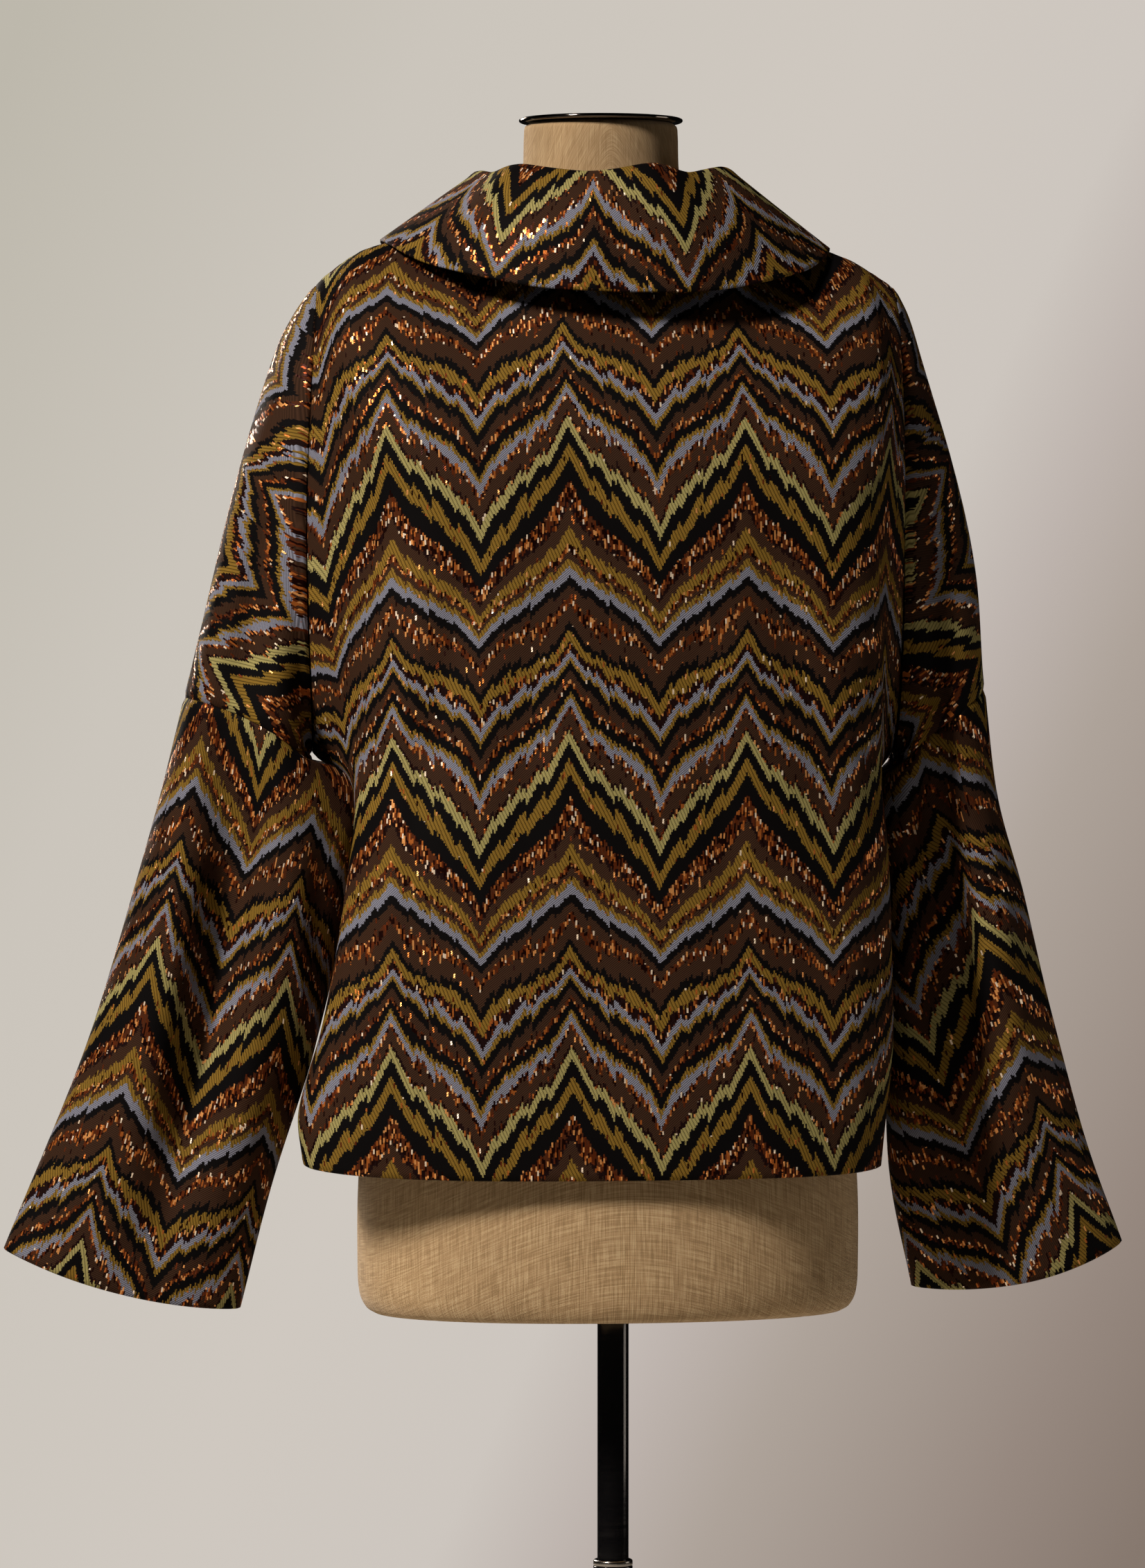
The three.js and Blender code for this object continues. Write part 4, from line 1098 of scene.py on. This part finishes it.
class Form:
    """The dress form, its cap and the stand."""

    SIDES = 256
    RINGS = 260
    FOOT, SKIRT, NECK, CAP = 650, 664, 1460, 1474
    SOCKET, SOCKET_DEPTH = 11.35, 58
    SEAM_ANGLES = (40, 140, -40, -140)
    GIRTH = 900
    ROUNDING = 0.6

    def torso(self, material: bpy.types.Material) -> bpy.types.Object:
        """The linen body: rings of the form's table, closed at the neck and drawn in to the mast's socket."""
        z = np.concatenate([np.linspace(self.FOOT, self.SKIRT, 14, endpoint=False),
                            np.linspace(self.SKIRT, self.NECK, self.RINGS),
                            np.linspace(self.NECK, self.CAP, 13)[1:]])
        row = {name: v[:, None] for name, v in read(FORM, "z", z).items()}
        angle = np.linspace(0, 2 * np.pi, self.SIDES + 1)[None, :]
        groove = sum(bump(np.degrees(np.angle(np.exp(1j * (angle - math.radians(at))))) * 1.9, 1.6)
                     for at in self.SEAM_ANGLES) * smoothstep(row["z"], self.NECK, 1380)
        scale = 1 - groove / 100
        across = row["half"] * superellipse(np.cos(angle), row["n"]) * scale
        deep = row["deep"] * superellipse(np.sin(angle), row["n"]) * scale
        skin = np.stack([row["x"] + across, row["y"] + deep, row["z"] + 0 * across], axis=-1)
        bottom, top = skin[0], skin[-1]
        hole = np.stack([self.SOCKET * np.cos(angle[0]), self.SOCKET * np.sin(angle[0]),
                         np.full(angle.shape[1], self.FOOT)], axis=-1)
        under = [hole + (bottom - hole) * s for s in (0.0, 0.02, 0.3, 0.6, 0.9, 0.98)]
        deep_hole = hole + [0, 0, self.SOCKET_DEPTH]
        centre = np.array([row["x"][-1, 0], row["y"][-1, 0], self.CAP])
        over = [centre + (top - centre) * s for s in (0.97, 0.6, 0.25, 0.02)]
        inside = [deep_hole * [s, s, 1] for s in (0.02, 0.98, 1)]
        points = np.concatenate([inside, under, skin, over])
        up = lengths(points, 0)
        girth = np.linspace(-0.5, 0.5, self.SIDES + 1) * self.GIRTH
        flat = np.stack([np.broadcast_to(girth, up.shape), up], axis=-1)
        return self.closed_tube("form_torso", points, flat, material, "torso", "linen", "bust")

    @staticmethod
    def closed_tube(name: str, points: Grid, flat: Grid, material: bpy.types.Material, node: str, slot: str,
                    body: str) -> bpy.types.Object:
        """A tube of rings whose first and last ones are closed with a fan to their centres.

        Args:
            name: the piece's name.
            points: (rings, sides + 1, 3), each ring ending where it starts.
            flat: the same grid laid flat.
            material: its finish.
            node: the solid that it replaces.
            slot: not used.
            body: what it rides on.

        Returns:
            The piece.
        """
        rows, columns = points.shape[:2]
        wrap = columns - 1
        ids = np.arange(rows * wrap).reshape(rows, wrap)
        ids = np.concatenate([ids, ids[:, :1]], axis=1)
        quads = grid_quads(ids)[:, ::-1]
        corner = grid_quads(np.arange(rows * columns).reshape(rows, columns))[:, ::-1]
        places = flat.reshape(-1, 2)
        centres = np.stack([points[0, :wrap].mean(axis=0), points[-1, :wrap].mean(axis=0)])
        fans, fan_places = [], []
        for ring, centre, order in ((0, rows * wrap, 1), (rows - 1, rows * wrap + 1, -1)):
            a, b = ids[ring, :-1][::order], ids[ring, 1:][::order]
            fans.append(np.stack([a, np.full(wrap, centre), b, b], axis=-1))
            at = (np.arange(wrap) + ring * columns)[::order]
            fan_places.append(np.stack([at, at, at + 1, at + 1], axis=-1))
        faces = np.concatenate([quads, *fans])
        made = write_mesh(name, np.concatenate([points[:, :wrap].reshape(-1, 3), centres]), faces,
                          places[np.concatenate([corner, *fan_places])] * MM)
        made.data.materials.append(material)
        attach(made, body)
        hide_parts(node)
        LOG.info("%s: %d faces", name, len(faces))
        return made

    def turned(self, name: str, profile: list[tuple[float, float]], centre: tuple[float, float],
               material: bpy.types.Material, node: str, slot: str, body: str) -> bpy.types.Object:
        """A turned piece, with each corner of its profile slightly rounded.

        Args:
            name: the piece's name.
            profile: (radius, height) points up the outside, from the axis or the bore to it again.
            centre: of its axis.
            material: its finish.
            node: the solid that it replaces.
            slot: a material slot's name, passed on to closed_tube.
            body: what it rides on.

        Returns:
            The piece.
        """
        line = np.array(profile, float)
        corners, steps = line[1:-1], np.diff(line, axis=0)
        long = np.linalg.norm(steps, axis=1, keepdims=True)
        reach = np.minimum(np.minimum(long[:-1], long[1:]) * 0.3, self.ROUNDING)
        ahead = corners + steps[1:] / long[1:] * reach
        behind = corners - steps[:-1] / long[:-1] * reach
        middle = 0.25 * behind + 0.5 * corners + 0.25 * ahead
        soft = np.stack([behind, middle, ahead], axis=1).reshape(-1, 2)
        rounded = np.concatenate([line[:1], soft, line[-1:]])
        angle = np.linspace(0, 2 * np.pi, self.SIDES // 2 + 1)
        r, z = rounded[:, 0, None], rounded[:, 1, None]
        x, y = centre[0] + r * np.cos(angle), centre[1] + r * np.sin(angle)
        points = np.stack([x, y, z + 0 * angle], axis=-1)
        flat = np.stack([r * angle, z + 0 * angle], axis=-1)
        return self.closed_tube(name, points, flat, material, node, slot, body)


class Studio:
    """Camera, lights, floor and backdrop."""

    AZIMUTH = math.radians(7)  # from straight behind, towards the left sleeve
    DISTANCE = 4.8
    EYE = 1.126
    PICTURE = (1652, 2263)
    AXIS_PIXEL = (884.6, 900.0)
    FOCAL_PIXELS = 10000
    # tones of the backdrop, with painted light and shade: lightest near the middle of the view, darkest
    # towards its lower right
    PAPER_WITH_PAINTED_SHADE = ((0.0, "c6c0b8"), (0.359, "bdb8ac"), (0.425, "cbc5bc"), (0.5, "cfc8c0"), (0.5425, "cdc6bf"),
             (0.564, "beb4ae"), (0.585, "aea39a"), (0.629, "96887f"), (0.656, "86786e"), (0.81, "c6c0b8"))
    FLOOR_RADIUS, FLOOR_DROP = 2500, 0.5

    def camera(self) -> None:
        """The camera at the photograph's angle, aimed along the ray of the picture's middle."""
        data = bpy.data.cameras.new("camera")
        data.sensor_width = 36
        data.lens = 36 * self.FOCAL_PIXELS / max(self.PICTURE)
        data.clip_end = 100
        made = bpy.data.objects.new("camera", data)
        bpy.context.scene.collection.objects.link(made)
        a = self.AZIMUTH
        made.location = (self.DISTANCE * math.sin(a), self.DISTANCE * math.cos(a), self.EYE)
        ahead = Vector((-math.sin(a), -math.cos(a), 0))
        right = Vector((-math.cos(a), math.sin(a), 0))
        across = self.PICTURE[0] / 2 - self.AXIS_PIXEL[0]
        down = self.PICTURE[1] / 2 - self.AXIS_PIXEL[1]
        aim = ahead * self.FOCAL_PIXELS + right * across - Vector((0, 0, down))
        made.rotation_mode = "QUATERNION"
        made.rotation_quaternion = aim.to_track_quat("-Z", "Y")
        bpy.context.scene.camera = made

    def light(self, name: str, place: tuple[float, ...], aim: tuple[float, ...], size: float, power: float,
              colour: str) -> None:
        """A soft upright lamp.

        Args:
            name: its name.
            place: its middle.
            aim: the point that it faces.
            size: its width.
            power: in watts.
            colour: a hex value.
        """
        data = bpy.data.lights.new(name, "AREA")
        data.shape = "RECTANGLE"
        data.size, data.size_y = size, size * 1.4
        data.energy = power
        data.color = linear(colour)[:3]
        made = bpy.data.objects.new(name, data)
        made.location = place
        made.rotation_mode = "QUATERNION"
        made.rotation_quaternion = (Vector(aim) - Vector(place)).to_track_quat("-Z", "Y")
        bpy.context.scene.collection.objects.link(made)

    def backdrop(self) -> None:
        """A greige backdrop in the world, its slow changes of tone painted light and shade, and a dim even
        fill.
        """
        world = bpy.data.worlds.new("backdrop paper")
        bpy.context.scene.world = world
        world.use_nodes = True
        world.node_tree.nodes.clear()
        add = partial(put, world.node_tree)
        a = self.AZIMUTH
        right = (-math.cos(a) * 0.9, math.sin(a) * 0.9, -0.43)
        slope = add("VectorMath DOT_PRODUCT", add("TexCoord").outputs["Generated"], right).outputs["Value"]
        share = add("MapRange", slope, From_Min=-0.4, From_Max=0.4)
        paper_with_painted_shade = add("ValToRGB LINEAR", share, stops=self.PAPER_WITH_PAINTED_SHADE)
        seen = add("Background", paper_with_painted_shade, Strength=1)
        fill = add("Background", linear("c8c4be"), Strength=0.008)
        both = add("MixShader", add("LightPath").outputs["Is Camera Ray"], fill, seen)
        add("OutputWorld", both)

    def floor(self) -> None:
        """A pale round floor that lies below the photograph's view."""
        rings, sides = 40, 96
        angle = np.linspace(0, 2 * np.pi, sides + 1)[None, :-1]
        r = np.linspace(0.008, 1, rings)[:, None] * self.FLOOR_RADIUS
        points = np.stack([r * np.cos(angle), r * np.sin(angle), 0 * r * angle - self.FLOOR_DROP], axis=-1)
        ids = np.arange(rings * sides).reshape(rings, sides)
        ids = np.concatenate([ids, ids[:, :1]], axis=1)
        made = write_mesh("floor", points.reshape(-1, 3), grid_quads(ids)[:, ::-1])
        material, add = new_material("pale painted floor")
        grain = add("TexNoise", Vector=add("TexCoord").outputs["Object"], Scale=6, Detail=4)
        tone = add("ValToRGB LINEAR", grain, stops=((0.3, "cbc6bc"), (0.7, "d6d1c8")))
        add("OutputMaterial", add("BsdfPrincipled", tone, Roughness=0.85))
        made.data.materials.append(material)

    def build(self) -> None:
        """Camera, lamps, backdrop and floor, shown without a film's soft shoulder."""
        bpy.context.scene.view_settings.view_transform = "Standard"
        self.camera()
        self.backdrop()
        self.floor()
        self.light("key", (3.2, 2.6, 4.3), (0.0, 0.0, 1.1), 0.8, 350, "fff0e2")
        self.light("front", (1.6, -3.2, 2.1), (0.0, 0.0, 1.05), 1.0, 70, "fff0e0")
        self.light("reflector", (-3.0, 0.0, 1.2), (0.0, 0.0, 1.0), 1.2, 9, "fff0e0")


BACK_FOLDS = table("u v angle half width depth bend", [
    [-120, 330, 78, 170, 16, -3.0, 8],
    [-60, 250, 84, 190, 20, -2.2, -6],
    [70, 300, 95, 200, 20, -2.4, 8],
    [130, 330, 103, 170, 15, -3.0, -8],
    [165, 200, 92, 160, 12, 2.5, 6],
    [-150, 160, 86, 150, 14, 2.2, 5],
    [30, 110, 92, 130, 26, -1.8, 4],
    [-95, 60, 88, 90, 22, 2.0, 3],
    [110, 60, 94, 90, 20, 2.2, -3],
    [0, 470, 0, 120, 14, -1.8, 6],
])
FRONT_FOLDS = table("u v angle half width depth bend", [
    [60, 260, 88, 180, 18, -2.4, 6],
    [130, 300, 98, 170, 16, -3.0, -7],
    [100, 120, 92, 120, 20, 2.2, 5],
    [40, 60, 86, 80, 22, 1.8, -3],
    [150, 420, 60, 90, 14, -2.0, 5],
])
SLEEVE_TOP_FOLDS = table("u v angle half width depth bend", [
    [-58, -215, 84, 95, 12, -5.0, 5],
    [-28, -190, 88, 110, 14, 3.0, 5],
    [-105, -150, 70, 90, 13, -3.5, -5],
    [62, -190, 96, 110, 14, -4.0, -5],
    [110, -150, 108, 90, 13, -3.0, 4],
])
SLEEVE_LOW_FOLDS = table("u v angle half width depth bend", [
    [-88, -200, 86, 230, 15, -12.0, 4],
    [-54, -200, 86, 210, 15, 4.0, 4],
    [-128, -250, 84, 150, 15, 3.0, -5],
    [-150, -110, 76, 110, 13, -4.0, 6],
    [70, -170, 98, 180, 15, -6.0, -6],
    [112, -230, 94, 150, 16, 3.5, 5],
    [148, -120, 106, 110, 13, -3.5, -5],
])
UNDERARM = {LEFT: 22, RIGHT: 11}
# How much wider the left sleeve's cloth is than what shows of it, at its top and at its hem.
GATHERS = (1.45, 1.08)


def mirrored(folds: Table, side: int) -> Table:
    """A table of folds for the left side, turned over for the right one."""
    return {**folds, "u": folds["u"] * side, "angle": 90 + (folds["angle"] - 90) * side}


def build_jacket(material: bpy.types.Material) -> None:
    """Cuts, folds, sews and builds the jacket's pieces."""
    jacket = Jacket(Steps())
    straight = Pattern(0, 42, 30)
    cross = {LEFT: Pattern(-70, -3, 32), RIGHT: Pattern(64, 20, 40)}
    lower = {LEFT: Pattern(0, -55, -6), RIGHT: Pattern(-10, -28, 26)}

    piece = jacket.back()
    piece.fold(BACK_FOLDS)
    piece.soften(0.35, 0.4)
    piece.sew(("start", "end", "last"))
    piece.flat = straight.lay(piece.flat)
    piece.build(material)
    for side in (LEFT, RIGHT):
        piece = jacket.front(side)
        piece.fold(mirrored(FRONT_FOLDS, side))
        piece.soften(0.35, 1.1 * side)
        piece.sew(("end", "last"))
        piece.flat = straight.lay(piece.flat)
        piece.build(material)
    for side in (LEFT, RIGHT):
        steps = jacket.steps
        piece = jacket.sleeve(side, 0, RING_SEAM_T, steps.sleeve_top, "top")
        piece.fold(mirrored(SLEEVE_TOP_FOLDS, side))
        piece.soften(0.35, 2.3 * side)
        piece.sew(("first", "last"))
        piece.flat = cross[side].lay(piece.flat)
        piece.build(material)
        piece = jacket.sleeve(side, RING_SEAM_T, 1, steps.sleeve_low, "low")
        piece.swell(UNDERARM[side])
        piece.fold(mirrored(SLEEVE_LOW_FOLDS, side))
        piece.soften(0.4, 3.1 * side)
        piece.sew(("first",))
        if side == LEFT:
            piece.flat[..., 0] *= np.linspace(*GATHERS, len(piece.flat))[:, None]
        piece.flat = lower[side].lay(piece.flat)
        piece.build(material)
    piece = jacket.collar()
    piece.hold = Hold.DRAPED
    piece.flat = Pattern(180, 40, 130).lay(piece.flat)
    piece.build(material)


def build_form() -> None:
    """Builds the dress form, its cap and its stand."""
    form = Form()
    form.torso(Linen().material())
    nickel = Polish("black nickel plate, polished", "77716c", 1.0, 0.09, spread=0.04).material()
    enamel = Polish("black lacquer on steel tube", "0b0b0d", 0.0, 0.16, (40, 40, 400), 0.08, 0.6).material()
    steel = Polish("steel edge, turned and polished", "a3a09c", 1.0, 0.22, (20, 20, 900), 0.08).material()
    powder = Polish("black powder coat", "131314", 0.0, 0.5, (900, 900, 900), 0.1).material()
    z = form.CAP + 0.3
    cap = [(0.5, z), (55.6, z), (57, z + 0.9), (57, z + 2.3), (55.2, z + 3.2), (0.5, z + 3.2)]
    form.turned("form_cap", cap, (4.5, -34), nickel, "neck_cap", "chrome", "bust")
    mast = [(0.5, 210), (10.85, 210), (10.85, 707), (0.5, 707)]
    form.turned("stand_mast", mast, (0, 0), enamel, "mast", "black_tube", "mast")
    tube = [(13.65, 16), (13.65, 472), (11.25, 472), (11.25, 16)]
    form.turned("stand_tube", tube, (0, 0), enamel, "outer_tube", "black_tube", "stand")
    rim = [(11.25, 472.3), (13.65, 472.3), (13.65, 475.5), (12.9, 476.3), (12.05, 476.3)]
    form.turned("stand_rim", rim, (0, 0), steel, "tube_rim", "rim_steel", "stand")
    base = [(0.5, 0), (188.5, 0), (190, 1.5), (190, 4), (187, 6), (35, 9), (30, 13), (24, 33), (21, 36),
            (14, 36), (14, 15.7), (0.5, 15.7)]
    form.turned("stand_base", base, (0, 0), powder, "base_plate", "black_base", "stand")


def main() -> None:
    """Builds the scene."""
    logging.basicConfig(level=logging.INFO, format="%(message)s")
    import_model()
    Studio().build()
    build_jacket(MetallicJacquard().material())
    build_form()


if __name__ == "__main__":
    main()
